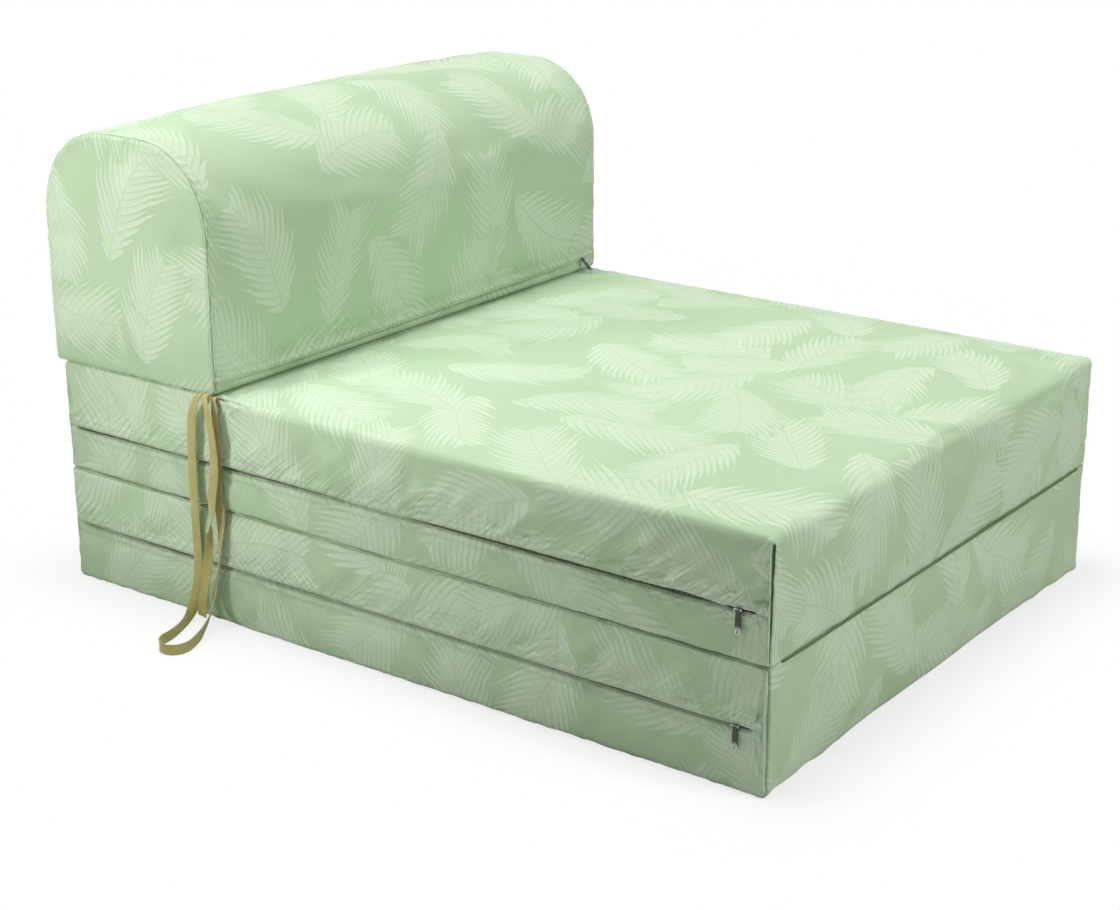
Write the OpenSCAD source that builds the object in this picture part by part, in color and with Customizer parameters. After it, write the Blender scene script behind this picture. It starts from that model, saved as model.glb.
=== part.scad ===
// Fold-out chair bed: two foam blocks and an arched backrest in zipped cloth covers.
// +X points to the chair's right, -Y to its foot and +Z up. The zipped sides face -X.
// The origin lies on the floor, under the middle of the folded chair.

/* [Mattress blocks] */
// Width of the chair and of the open bed
bed_w = 680; // [600:10:760]
// Length of one block from foot to head
block_l = 915; // [850:5:980]
// Thickness of the base block
base_t = 130; // [118:1:142]
// Thickness of the seat block, which with its crown matches the base
seat_t = 125; // [115:1:135]
// Rounding of a block's foot and head edges
edge_r = 12; // [9:0.5:15]
// Rise of the seat in front of the backrest
seat_crown = 5; // [2:0.5:8]
// Swell of the foot and head faces
end_swell = 2.5; // [1:0.5:4]
// Swell of the side panels
side_swell = 2; // [1:0.25:2.25]
// Height of the base's zip, as a share of its thickness
base_slit_share = 0.51; // [0.45:0.01:0.55]
// Height of the seat's zip, as a share of its thickness
seat_slit_share = 0.4; // [0.35:0.01:0.55]

/* [Backrest] */
// Depth of the backrest from front to back
back_d = 246; // [225:1:270]
// Height of the backrest above the seat
back_h = 262; // [230:1:290]
// Radius of its upper front edge
back_front_r = 92; // [70:1:110]
// Radius of its upper rear edge
back_rear_r = 96; // [60:1:110]
// Radius of its lower front edge
back_foot_r = 6; // [4:0.5:8]
// How far it stands out behind the blocks
back_overhang = 10; // [6:0.5:16]
// Swell of its wrap between the end panels
back_swell = 3; // [1:0.5:5]
// Swell of its end panels
back_end_swell = 3; // [1:0.5:5]
// Height of its zip above its underside
back_slit_h = 17; // [15:0.5:20]

/* [Covers] */
// Thickness of the cover cloth
cloth_t = 0.8; // [0.6:0.1:1]
// Thickness of a folded hem
hem_t = 1.6; // [1.3:0.1:1.8]
// Width of a folded hem
hem_w = 9; // [9:0.5:11]
// Gap between the foam and its cover
foam_gap = 0.3; // [0.2:0.05:0.6]
// Gap between the stacked cushions
stack_gap = 0.4; // [0.3:0.05:0.6]
// Inset of an end panel's edge from the wrap's edge
seam_inset = 0.4; // [0.2:0.1:0.8]

/* [Zips] */
// Opening between the two hems
slit_gap = 3.2; // [3:0.1:4]
// Distance from a panel's end to the zip's opening
slit_margin = 15; // [12:0.5:20]
// Pitch of the teeth
tooth_pitch = 6; // [5:0.5:8]
// Height of the zip's teeth through the cloth
tooth_t = 2.4; // [2:0.1:2.6]
// Thickness of the zip's tape
tape_t = 0.6; // [0.5:0.05:0.7]
// Length of a slider
slider_l = 10; // [9:0.5:12]
// Width of a slider
slider_w = 9; // [8.6:0.1:9.4]
// Distance of the pull's pin outside the cloth
pin_out = 3.6; // [3.4:0.1:4.5]
// Radius of the pull's pin
pin_r = 0.8; // [0.6:0.05:0.9]
// Length of a pull tab below its pin
pull_l = 24; // [19:1:28]
// Width of a pull tab
pull_w = 6.2; // [5:0.1:8]
// Thickness of a pull tab
pull_t = 1.2; // [1:0.1:1.4]

/* [Hinges] */
// Thickness of a hinge tape
hinge_t = 1.2; // [0.8:0.1:1.4]
// Radius of the rolled edge that a hinge turns on
roll_r = 1.1; // [0.9:0.1:1.3]
// Running gap in a hinge
hinge_gap = 0.3; // [0.2:0.05:0.5]
// Distance from a panel's end to the hinge tape's end
hinge_margin = 22; // [15:1:60]
// Height of the hinge tape on the backrest's rear
hinge_leg = 10; // [8:0.5:12]

/* [Ties] */
// Width of the tie ribbon
ribbon_w = 12; // [10:0.5:13]
// Thickness of the tie ribbon
ribbon_t = 0.9; // [0.6:0.1:1.2]

/* [Hidden] */
$fn = 48;

cloth = "#a8cb9e";
cloth_light = "#b9d8ae";
foam_colour = "#f1ead2";
tape_colour = "#55603a";
metal = "#9c9f9c";
ribbon = "#b5a76e";

// Places of the main planes
half_w = bed_w / 2;
y_foot = -(block_l + back_overhang + back_swell - end_swell) / 2;
y_head = y_foot + block_l;
z_seat = base_t + stack_gap;
z_seat_top = z_seat + seat_t;
z_back = z_seat_top + stack_gap;
z_back_top = z_back + back_h;
y_back_rear = y_head + back_overhang;
y_back_front = y_back_rear - back_d;

// The zip's layers, as depths behind the cloth's outer face
clearance = 0.3;
plate_t = 1;
plate_depth = hem_t + clearance;
tooth_depth = plate_depth + plate_t + clearance;
slider_h = tooth_t + 2 * (clearance + plate_t);
tape_depth = tooth_depth + (tooth_t - tape_t) / 2;
zip_room = plate_depth + slider_h + 3 * clearance;
tooth_back = slider_w * 0.29;
tooth_tip = 2 * clearance;
tooth_w = tooth_pitch / 2;
tooth_spine = 2 * clearance;
tape_bend_in = slider_w / 2 + 2 * clearance;
tape_bend_out = tape_bend_in + 2;
tape_edge = slit_gap / 2 + hem_w * 0.93;
slit_taper = slit_margin * 0.6;
slit_overlap = slit_margin * 0.4;
slider_rest = slit_margin + slit_taper + slider_l / 2 + tooth_w;

// Corner and grid counts
corner_steps = 4;
arch_steps = 7;
x_shares = [-1, -0.93, -0.65, 0, 0.65, 0.93, 1];
crown_shares = [0.1, 0.3, 0.6, 0.88];
swell_shares = [0.2, 0.5, 0.8];
panel_shares = [0.55, 0.86, 1];
strip_length_shares = [0.1, 0.5, 0.9];
strip_height_shares = [0.35, 0.8];
foam_shares = [-1, -0.9, -0.5, 0.5, 0.9, 1];
// The foam swells a little less than its cover
foam_swell_share = 0.88;

// Fall of a panel's swell towards its seams, from 1 in the middle to 0 at the edge
function fall(share) = 1 - pow(abs(share), 4);
function rise(share) = fall(2 * share - 1);
function flat_list(lists) = [for (l = lists) for (e = l) e];
function backwards(list) = [for (i = [len(list) - 1 : -1 : 0]) list[i]];
function mean(points) = points * [for (p = points) 1] / len(points);
function middle(points) = [for (k = [0 : len(points[0]) - 1]) mean([for (p = points) p[k]])];

// Points on an outline are [y, z, dy, dz]: a place and how far it swells there
function arc(y, z, r, from, to, steps, swell = 0) =
    [for (i = [0 : steps]) let (a = from + (to - from) * i / steps)
        [y + r * cos(a), z + r * sin(a), swell * cos(a), swell * sin(a)]];

// Outline of a block of thickness t at height z, drawn in by d, with a crown on top
function block_outline(z, t, d, crown) = let (
    r = edge_r - d,
    low = z + edge_r,
    high = z + t - edge_r,
    foot = y_foot + edge_r,
    head = y_head - edge_r,
    crown_l = y_back_front - foot
) concat(
    arc(foot, low, r, 180, 270, corner_steps),
    arc(head, low, r, 270, 360, corner_steps),
    [for (s = swell_shares) [y_head - d, low + s * (high - low), end_swell * rise(s), 0]],
    arc(head, high, r, 0, 90, corner_steps),
    [[y_back_front, z + t - d, 0, 0]],
    [for (s = backwards(crown_shares)) [foot + s * crown_l, z + t - d, 0, crown * rise(s)]],
    arc(foot, high, r, 90, 180, corner_steps),
    [for (s = backwards(swell_shares))
        [y_foot + d, low + s * (high - low), -end_swell * rise(s), 0]]
);

// Path of the backrest's wrap, drawn in by d, from its rear seam over the top to the hem
function wrap_path(d, hem_d) = let (
    rear_z = z_back_top - back_rear_r,
    front_z = z_back_top - back_front_r,
    lip = z_back + back_slit_h + slit_gap / 2,
    hem = lip + hem_w
) concat(
    [[y_back_rear - d, z_back + cloth_t, 0, 0], [y_back_rear - d, z_back + hinge_leg, 0, 0],
     [y_back_rear - d, z_back + 2 * hinge_leg, back_swell / 2, 0],
     [y_back_rear - d, (z_back + rear_z) / 2, back_swell, 0]],
    arc(y_back_rear - back_rear_r, rear_z, back_rear_r - d, 0, 90, arch_steps, back_swell),
    arc(y_back_front + back_front_r, front_z, back_front_r - d, 90, 180, arch_steps,
        back_swell),
    [[y_back_front + d, (hem + front_z) / 2, -back_swell, 0],
     [y_back_front + d, hem + hem_w, -back_swell / 2, 0],
     [y_back_front + d, hem + cloth_t, 0, 0], [y_back_front + hem_d, hem, 0, 0],
     [y_back_front + hem_d, lip, 0, 0]]
);

// Path of the backrest's base panel, from its turned-up hem to the rear seam
function base_path(d, hem_d) = let (lip = z_back + back_slit_h - slit_gap / 2) concat(
    [[y_back_front + hem_d, lip, 0, 0],
     [y_back_front + hem_d, z_back + back_foot_r + cloth_t, 0, 0]],
    arc(y_back_front + back_foot_r, z_back + back_foot_r, back_foot_r - d, 180, 270,
        corner_steps),
    [[y_back_rear, z_back + d, 0, 0]]
);

// Closed outline of the backrest, drawn in by d
function back_outline(d) = concat(
    arc(y_back_front + back_foot_r, z_back + back_foot_r, back_foot_r - d, 180, 270, 2),
    [[y_back_rear - d, z_back + d, 0, 0]],
    arc(y_back_rear - back_rear_r, z_back_top - back_rear_r, back_rear_r - d, 0, 90,
        arch_steps, back_swell),
    arc(y_back_front + back_front_r, z_back_top - back_front_r, back_front_r - d, 90, 180,
        arch_steps, back_swell)
);

// The backrest's foam, cut away along the zip
function back_foam_outline(d) = let (
    room = y_back_front + zip_room,
    over = z_back + back_slit_h + slider_w / 2 + hem_t
) concat(
    [[room, z_back + d, 0, 0], [y_back_rear - d, z_back + d, 0, 0],
     [y_back_rear - d, z_back + 2 * hinge_leg, 0, 0],
     [y_back_rear - d, z_back + back_h / 2, back_swell, 0]],
    arc(y_back_rear - back_rear_r, z_back_top - back_rear_r, back_rear_r - d, 0, 90,
        arch_steps, back_swell),
    arc(y_back_front + back_front_r, z_back_top - back_front_r, back_front_r - d, 90, 180,
        arch_steps, back_swell),
    [[y_back_front + d, over + 3 * hem_w, -back_swell / 2, 0],
     [y_back_front + hem_t + d, over + 2 * hem_w, 0, 0], [room, over, 0, 0]]
);

function ring_at(x, outline, swell) =
    [for (p = outline) [x, p[0] + swell * p[2], p[1] + swell * p[3]]];

// A solid through rings of points, closed by flat fans
module loaf(rings) {
    n = len(rings[0]);
    last = len(rings) - 1;
    hub = n * len(rings);
    points = concat(flat_list(rings), [middle(rings[0]), middle(rings[last])]);
    sides = [for (i = [0 : last - 1]) for (j = [0 : n - 1]) let (
        a = i * n + j, b = i * n + (j + 1) % n, c = b + n, d = a + n)
        for (f = [[a, c, b], [a, d, c]]) f];
    ends = [for (j = [0 : n - 1]) let (k = (j + 1) % n)
        for (f = [[hub, j, k], [hub + 1, last * n + k, last * n + j]]) f];
    polyhedron(points, concat(sides, ends));
}

// A sheet of cloth between an outer and an inner grid; a closed one is a tube
module sheet(outer, inner, closed = false) {
    n = len(outer[0]);
    rows = len(outer);
    last = rows - 1;
    far = rows * n;
    spans = closed ? n - 1 : n - 2;
    faces = [for (i = [0 : last - 1]) for (j = [0 : spans]) let (
        a = i * n + j, b = i * n + (j + 1) % n, c = b + n, d = a + n)
        for (f = [[a, c, b], [a, d, c], [far + a, far + b, far + c],
                  [far + a, far + c, far + d]]) f];
    ends = [for (j = [0 : spans]) let (k = (j + 1) % n, a = last * n + j, b = last * n + k)
        for (f = [[j, k, far + k], [j, far + k, far + j], [b, a, far + a],
                  [b, far + a, far + b]]) f];
    edges = closed ? [] : [for (i = [0 : last - 1]) let (
        a = i * n, d = a + n, e = a + n - 1, h = e + n)
        for (f = [[a, far + a, far + d], [a, far + d, d], [e, h, far + h],
                  [e, far + h, far + e]]) f];
    polyhedron(concat(flat_list(outer), flat_list(inner)), concat(faces, ends, edges));
}

// The tube of cloth round a block, from side seam to side seam
module block_wrap(z, t, crown) {
    reach = half_w - cloth_t;
    sheet(
        [for (s = x_shares) ring_at(s * reach, block_outline(z, t, 0, crown), fall(s))],
        [for (s = x_shares) ring_at(s * reach, block_outline(z, t, cloth_t, crown), fall(s))],
        closed = true
    );
}

// The foam of a block, short of the zip's side by the slider's room
module block_foam(z, t, crown) {
    d = cloth_t + foam_gap;
    right = half_w - d;
    left = -half_w + zip_room;
    loaf([for (s = foam_shares)
        ring_at(s < 0 ? -s * left : s * right, block_outline(z, t, d, crown),
            foam_swell_share * fall(s))]);
}

// A side panel that swells between its seams; side is 1 on the right and -1 on the left
module end_panel(outline, side, swell) {
    c = middle(outline);
    function ring(share, x) = [for (p = outline)
        [side * (x + swell * fall(share)), c[0] + share * (p[0] - c[0]),
         c[1] + share * (p[1] - c[1])]];
    inner = [for (s = panel_shares) ring(s, half_w - cloth_t)];
    outer = [for (s = backwards(panel_shares)) ring(s, half_w)];
    loaf(side > 0 ? concat(inner, outer) : backwards(concat(inner, outer)));
}

// One strip of a zipped side, above the slit (up = 1) or below it (up = -1)
module zip_side(z, t, slit_z, up) {
    edge = up > 0 ? z + t - seam_inset : z + seam_inset;
    start = y_foot + seam_inset;
    end = y_head - seam_inset;
    r = edge_r - seam_inset;
    open_from = y_foot + slit_margin;
    open_to = y_head - slit_margin;
    corner = [for (i = [0 : corner_steps]) r * (1 - cos(90 * i / corner_steps))];
    stations = concat(
        [for (c = corner) start + c],
        [open_from, open_from + slit_taper],
        [for (s = strip_length_shares) open_from + s * (open_to - open_from)],
        [open_to - slit_taper, open_to],
        [for (c = backwards(corner)) end - c]
    );
    // Half of the opening at y, and the panel's rounded edge at y
    function gap_at(y) = slit_gap / 2
        * min(1, max(0, min(y - open_from, open_to - y)) / slit_taper);
    function edge_at(y) = let (u = max(0, r - min(y - start, end - y)))
        edge - up * (r - sqrt(max(0, r * r - u * u)));
    function hem_at(y) = min(y - start, end - y) < corner[2] * 0.9 ? cloth_t : hem_t;
    function swell_at(y, share) =
        side_swell * fall((y - (start + end) / 2) * 2 / (end - start)) * rise(share);
    function column(y, d, hem_d) = let (
        lip = slit_z + up * gap_at(y),
        hem = lip + up * hem_w,
        top = edge_at(y)
    ) concat(
        [[-half_w + hem_d, y, lip], [-half_w + hem_d, y, hem],
         [-half_w + d, y, hem + up * cloth_t]],
        [for (s = strip_height_shares)
            [-half_w + d - swell_at(y, s), y, hem + s * (top - hem)]],
        [[-half_w + d, y, top]]
    );
    outer = [for (y = stations) column(y, 0, 0)];
    inner = [for (y = stations) column(y, cloth_t, hem_at(y))];
    if (up > 0) sheet(outer, inner);
    else sheet(backwards(outer), backwards(inner));
}

// The zips are drawn along u, across v and into the cushion along w
module side_frame(slit_z) {
    multmatrix([[0, 0, 1, -half_w], [1, 0, 0, y_foot], [0, 1, 0, slit_z], [0, 0, 0, 1]])
        children();
}

module front_frame() {
    multmatrix([[-1, 0, 0, half_w], [0, 0, 1, y_back_front],
                [0, 1, 0, z_back + back_slit_h], [0, 0, 0, 1]])
        children();
}

// The tape of one side, from the teeth out to the back of its hem
module zip_tape(length, up) {
    from = slit_margin - slit_overlap;
    section = [
        [tooth_back, tape_depth], [tape_bend_in, tape_depth], [tape_bend_out, hem_t],
        [tape_edge, hem_t], [tape_edge, hem_t + tape_t],
        [tape_bend_out, hem_t + tape_t], [tape_bend_in, tape_depth + tape_t],
        [tooth_back, tape_depth + tape_t],
    ];
    color(tape_colour)
        translate([from, 0, 0])
        rotate([90, 0, 90])
        linear_extrude(length - 2 * from)
        polygon([for (p = section) [up * p[0], p[1]]]);
}

// A row of teeth on one tape's edge; the two rows stand half a pitch apart
module zip_teeth(length, up) {
    room = length - slider_rest - slit_margin;
    count = floor((room - tooth_pitch) / tooth_pitch);
    from = slider_rest + (up > 0 ? 0 : tooth_pitch / 2);
    root = tooth_back - tooth_spine;
    row = flat_list([for (i = [0 : count - 1]) let (u = from + i * tooth_pitch) [
        [u + tooth_w * 0.15, tooth_tip], [u + tooth_w * 0.85, tooth_tip],
        [u + tooth_w, root], [u + tooth_pitch, root],
    ]]);
    outline = concat([[from, root]], row,
        [[from + count * tooth_pitch, tooth_back], [from, tooth_back]]);
    color(metal)
        translate([0, 0, tooth_depth])
        linear_extrude(tooth_t)
        polygon([for (p = outline) [p[0], up * p[1]]]);
}

// The crimped stops: one on each tape in front of the slider and one across the far end
module zip_stops(length) {
    stop_l = tooth_w * 1.2;
    block = tooth_back - tooth_tip;
    color(metal) {
        for (up = [-1, 1])
            translate([slit_margin, up > 0 ? tooth_tip : -tooth_back, tooth_depth])
                cube([stop_l, block, tooth_t]);
        translate([length - slit_margin, -tooth_back, tooth_depth])
            cube([stop_l, 2 * tooth_back, tooth_t]);
    }
}

// The slider: two plates on a wedge, with flanges that guide the tapes and a bridge on top
module zip_slider() {
    nose_r = slider_w * 0.3;
    tail_r = slider_w * 0.22;
    wing = slider_w / 2 - nose_r;
    flange_w = slider_w * 0.09;
    flange_h = (slider_h - 2 * plate_t - tape_t) / 2 - clearance;
    foot_w = slit_gap - 2 * clearance - 0.2 * pin_r;
    foot_l = slider_l * 0.14;
    module plate() {
        linear_extrude(plate_t) hull() {
            for (v = [-wing, wing])
                translate([-slider_l / 2 + nose_r, v]) circle(nose_r);
            for (v = [-wing, wing])
                translate([slider_l / 2 - tail_r, v]) circle(tail_r);
        }
    }
    color(metal)
    translate([slider_rest, 0, 0])
    union() {
        translate([0, 0, plate_depth]) plate();
        translate([0, 0, plate_depth + slider_h - plate_t]) plate();
        // Flanges stop short of the tape that runs between them
        for (v = [-1, 1], w = [plate_depth + plate_t,
                               plate_depth + slider_h - plate_t - flange_h])
            translate([-slider_l / 2 + nose_r, v * (slider_w / 2 - flange_w) - flange_w / 2, w])
                cube([slider_l - nose_r - tail_r, flange_w, flange_h]);
        // The wedge runs between the two rows of teeth
        translate([-slider_l * 0.4, -tooth_tip / 2, plate_depth])
            cube([slider_l * 0.24, tooth_tip, slider_h]);
        // The bridge's two feet reach out through the slit and carry the pin
        for (u = [-1, 1])
            translate([u * slider_l * 0.32 - foot_l / 2, 0, -pin_out]) {
                rotate([0, 90, 0]) cylinder(h = foot_l, r = foot_w / 2);
                translate([0, -foot_w / 2, 0]) cube([foot_l, foot_w, pin_out + plate_depth]);
            }
        translate([-slider_l * 0.32, 0, -pin_out])
            rotate([0, 90, 0]) cylinder(h = slider_l * 0.64, r = pin_r);
    }
}

// The pull: a tab with an eye on the pin and a hole at its tip, lifted by an angle
module zip_pull(lift = 0) {
    eye_l = slider_l * 0.64 - slider_l * 0.14 - 2 * clearance;
    eye_r = pin_r + clearance + pin_r * 0.9;
    tip_r = pull_w / 2;
    hole_r = pull_w / 4;
    waist = eye_r + 2 * clearance;
    recess_t = pull_t / 5;
    color(metal)
    translate([slider_rest, 0, -pin_out])
    rotate([lift, 0, 0])
    difference() {
        union() {
            translate([-eye_l / 2, 0, 0]) rotate([0, 90, 0]) cylinder(h = eye_l, r = eye_r);
            translate([-eye_l / 2, -waist, -pull_t / 2]) cube([eye_l, waist, pull_t]);
            translate([0, 0, -pull_t / 2]) linear_extrude(pull_t) hull() {
                translate([0, -pull_l + tip_r]) circle(tip_r);
                translate([-eye_l / 2, -waist - tip_r]) square([eye_l, tip_r]);
            }
        }
        translate([-eye_l, 0, 0]) rotate([0, 90, 0])
            cylinder(h = 2 * eye_l, r = pin_r + clearance);
        translate([0, -pull_l + tip_r, -pull_t]) cylinder(h = 2 * pull_t, r = hole_r);
        // A shallow panel is pressed into the outer face
        translate([-pull_w / 4, -pull_l + 2 * pull_w, -pull_t / 2 - recess_t])
            cube([pull_w / 2, pull_l - 3.2 * pull_w, 2 * recess_t]);
    }
}

// A strip of hinge tape: a profile in y and z, drawn along x
module across(margin) {
    translate([-half_w + margin, 0, 0])
        rotate([90, 0, 90])
        linear_extrude(bed_w - 2 * margin)
        children();
}

// A tape that runs from a hinge's axis to a block's rounded edge at (y, z)
// dir is 1 where the block lies towards +Y, and up is 1 where the tape lies above the axis
module edge_tape(axis_y, axis_z, y, z, dir, up, roll) {
    reach = abs(y - axis_y) - edge_r * 0.45;
    low = up > 0 ? hinge_gap : -hinge_gap - hinge_t;
    color(cloth_light) across(hinge_margin) {
        difference() {
            translate([dir > 0 ? axis_y : axis_y - reach, axis_z + low])
                square([reach, hinge_t]);
            translate([y, z]) circle(edge_r + foam_gap);
            if (!roll) translate([axis_y, axis_z]) circle(roll_r + hinge_gap);
        }
        if (roll) translate([axis_y, axis_z]) circle(roll_r);
    }
}

// A ribbon swept along its route; a point is [x, y, z], its width's direction and its share
function unit(v) = v / norm(v);
function ribbon_ring(route, i) = let (
    p = route[i][0],
    before = route[max(i - 1, 0)][0],
    after = route[min(i + 1, len(route) - 1)][0],
    t = unit(after - before),
    n = unit(cross(t, route[i][1])),
    w = cross(n, t) * ribbon_w / 2 * route[i][2],
    h = n * ribbon_t / 2
) [for (c = [[-1, -0.5], [-0.9, -1], [0.9, -1], [1, -0.5], [1, 0.5], [0.9, 1], [-0.9, 1],
             [-1, 0.5]])
    p + c[0] * w + c[1] * h];

module ribbon_sweep(route) {
    color(ribbon) loaf([for (i = [0 : len(route) - 1]) ribbon_ring(route, i)]);
}

along = [0, 1, 0];
upright = [0, 0, 1];
// The long loop leaves the seat's seam, lies out on the floor and comes back up
loop_route = [
    [[-341, 228, 251], along, 0.5], [[-342, 228, 256], along, 0.5],
    [[-346, 230, 259], along, 0.6], [[-350, 233, 256], along, 0.7],
    [[-351, 240, 240], along, 0.9], [[-350, 245, 218], along, 1],
    [[-350, 247, 170], along, 1], [[-350, 247, 115], along, 1],
    [[-350, 247, 70], along, 1], [[-351, 249, 40], [-0.2, 1, 0], 1],
    [[-355, 251, 20], [-0.5, 0.8, 0.4], 1], [[-366, 248, 10], [-0.3, 0.3, 0.9], 1],
    [[-386, 239, 7], upright, 1], [[-408, 231, 7], upright, 1],
    [[-426, 228, 7], upright, 1], [[-437, 220, 7], upright, 1],
    [[-440, 208, 7], upright, 1], [[-434, 198, 7], upright, 1],
    [[-420, 195, 7], upright, 1], [[-398, 203, 7], upright, 1],
    [[-378, 214, 8], [0, -0.2, 1], 1], [[-362, 220, 18], [-0.5, -0.6, 0.6], 0.9],
    [[-353, 220, 38], [-0.6, -0.8, 0.1], 0.7], [[-350, 217, 65], [-0.7, -0.7, 0], 0.7],
    [[-349, 213, 95], [-0.4, -0.9, 0], 0.8], [[-348, 211, 122], [0, -1, 0], 1],
    [[-348, 213, 150], [0, -1, 0], 1], [[-348, 212, 185], [0, -1, 0], 0.9],
    [[-348, 211, 220], [0, -1, 0], 0.8], [[-348, 212, 244], [0, -1, 0], 0.6],
    [[-346, 213, 256], [0, -1, 0], 0.5], [[-342, 213, 257], [0, -1, 0], 0.5],
    [[-341, 213, 251], [0, -1, 0], 0.5],
];
// The tail hangs in front of the loop, twists once and ends just off the floor
tail_route = [
    [[-341, 221, 251], along, 0.5], [[-342, 221, 257], along, 0.5],
    [[-347, 221, 261], along, 0.55], [[-353, 219, 256], along, 0.6],
    [[-355, 214, 238], along, 0.7], [[-355, 210, 212], along, 0.8],
    [[-355, 209, 182], along, 0.95], [[-355, 214, 155], along, 1],
    [[-355, 217, 133], [0.2, 1, 0], 0.9], [[-356, 219, 118], [0.7, 0.7, 0], 0.7],
    [[-356, 221, 104], [1, -0.2, 0], 0.7], [[-356, 223, 90], [0.7, -0.7, 0], 0.8],
    [[-356, 226, 70], [0.2, -1, 0], 1], [[-356, 231, 48], [0, -1, 0], 1],
    [[-357, 235, 28], [0, -1, 0], 1], [[-357, 238, 8], [0, -1, 0], 1],
];

z_joint = base_t + stack_gap / 2;
z_back_joint = z_seat_top + stack_gap / 2;
front_axis_y = y_foot - end_swell - hinge_gap;
rear_axis_y = y_back_rear + back_swell + hinge_gap;
base_slit_z = base_slit_share * base_t;
seat_slit_z = z_seat + seat_slit_share * seat_t;
// The backrest's pull leans on the seat, whose crown starts to rise under its tip
crown_slope = seat_crown * rise(crown_shares[3])
    / ((1 - crown_shares[3]) * (y_back_front - y_foot - edge_r));
pull_rise = back_slit_h + stack_gap - crown_slope * (pin_out + pull_l) - clearance - pull_t / 2;
back_pull_slope = asin(min(1, pull_rise / pull_l));

module base_foam() color(foam_colour) block_foam(0, base_t, 0);
module base_cover_wrap() color(cloth) block_wrap(0, base_t, 0);
module base_cover_plain_side()
    color(cloth_light) end_panel(block_outline(0, base_t, seam_inset, 0), 1, side_swell);
module base_cover_zip_side_upper() color(cloth_light) zip_side(0, base_t, base_slit_z, 1);
module base_cover_zip_side_lower() color(cloth_light) zip_side(0, base_t, base_slit_z, -1);
module base_zip_tape_upper() side_frame(base_slit_z) zip_tape(block_l, 1);
module base_zip_tape_lower() side_frame(base_slit_z) zip_tape(block_l, -1);
module base_zip_teeth_upper() side_frame(base_slit_z) zip_teeth(block_l, 1);
module base_zip_teeth_lower() side_frame(base_slit_z) zip_teeth(block_l, -1);
module base_zip_stops() side_frame(base_slit_z) zip_stops(block_l);
module base_zip_slider() side_frame(base_slit_z) zip_slider();
module base_zip_pull() side_frame(base_slit_z) zip_pull();

module seat_foam() color(foam_colour) block_foam(z_seat, seat_t, seat_crown);
module seat_cover_wrap() color(cloth) block_wrap(z_seat, seat_t, seat_crown);
module seat_cover_plain_side()
    color(cloth_light) end_panel(block_outline(z_seat, seat_t, seam_inset, 0), 1, side_swell);
module seat_cover_zip_side_upper() color(cloth_light) zip_side(z_seat, seat_t, seat_slit_z, 1);
module seat_cover_zip_side_lower() color(cloth_light) zip_side(z_seat, seat_t, seat_slit_z, -1);
module seat_zip_tape_upper() side_frame(seat_slit_z) zip_tape(block_l, 1);
module seat_zip_tape_lower() side_frame(seat_slit_z) zip_tape(block_l, -1);
module seat_zip_teeth_upper() side_frame(seat_slit_z) zip_teeth(block_l, 1);
module seat_zip_teeth_lower() side_frame(seat_slit_z) zip_teeth(block_l, -1);
module seat_zip_stops() side_frame(seat_slit_z) zip_stops(block_l);
module seat_zip_slider() side_frame(seat_slit_z) zip_slider();
module seat_zip_pull() side_frame(seat_slit_z) zip_pull();

module backrest_foam() {
    d = cloth_t + foam_gap;
    reach = half_w - d;
    color(foam_colour)
        loaf([for (s = foam_shares)
            ring_at(s * reach, back_foam_outline(d), foam_swell_share * fall(s))]);
}
module backrest_cover_wrap() {
    reach = half_w - cloth_t;
    color(cloth) sheet(
        [for (s = x_shares) ring_at(s * reach, wrap_path(0, 0), fall(s))],
        [for (s = x_shares) ring_at(s * reach, wrap_path(cloth_t, hem_t), fall(s))]
    );
}
module backrest_cover_base() {
    reach = half_w - cloth_t;
    color(cloth_light) sheet(
        [for (s = [-1, 1]) ring_at(s * reach, base_path(0, 0), 0)],
        [for (s = [-1, 1]) ring_at(s * reach, base_path(cloth_t, hem_t), 0)]
    );
}
module backrest_cover_left_end()
    color(cloth_light) end_panel(back_outline(seam_inset), -1, back_end_swell);
module backrest_cover_right_end()
    color(cloth_light) end_panel(back_outline(seam_inset), 1, back_end_swell);
module backrest_zip_tape_upper() front_frame() zip_tape(bed_w, 1);
module backrest_zip_tape_lower() front_frame() zip_tape(bed_w, -1);
module backrest_zip_teeth_upper() front_frame() zip_teeth(bed_w, 1);
module backrest_zip_teeth_lower() front_frame() zip_teeth(bed_w, -1);
module backrest_zip_stops() front_frame() zip_stops(bed_w);
module backrest_zip_slider() front_frame() zip_slider();
module backrest_zip_pull() front_frame() zip_pull(90 - back_pull_slope);

module front_hinge_base_tape()
    edge_tape(front_axis_y, z_joint, y_foot + edge_r, base_t - edge_r, 1, -1, true);
module front_hinge_seat_tape()
    edge_tape(front_axis_y, z_joint, y_foot + edge_r, z_seat + edge_r, 1, 1, false);
module rear_hinge_seat_tape()
    edge_tape(rear_axis_y, z_back_joint, y_head - edge_r, z_seat_top - edge_r, -1, -1, true);
module rear_hinge_backrest_tape() {
    low = z_back_joint + hinge_gap;
    color(cloth_light) across(hinge_margin) difference() {
        union() {
            translate([y_back_rear, low]) square([hinge_t, hinge_leg - hinge_gap]);
            translate([y_back_rear, low]) square([rear_axis_y - y_back_rear, hinge_t]);
        }
        translate([rear_axis_y, z_back_joint]) circle(roll_r + hinge_gap);
    }
}
module tie_loop() ribbon_sweep(loop_route);
module tie_tail() ribbon_sweep(tail_route);

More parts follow.
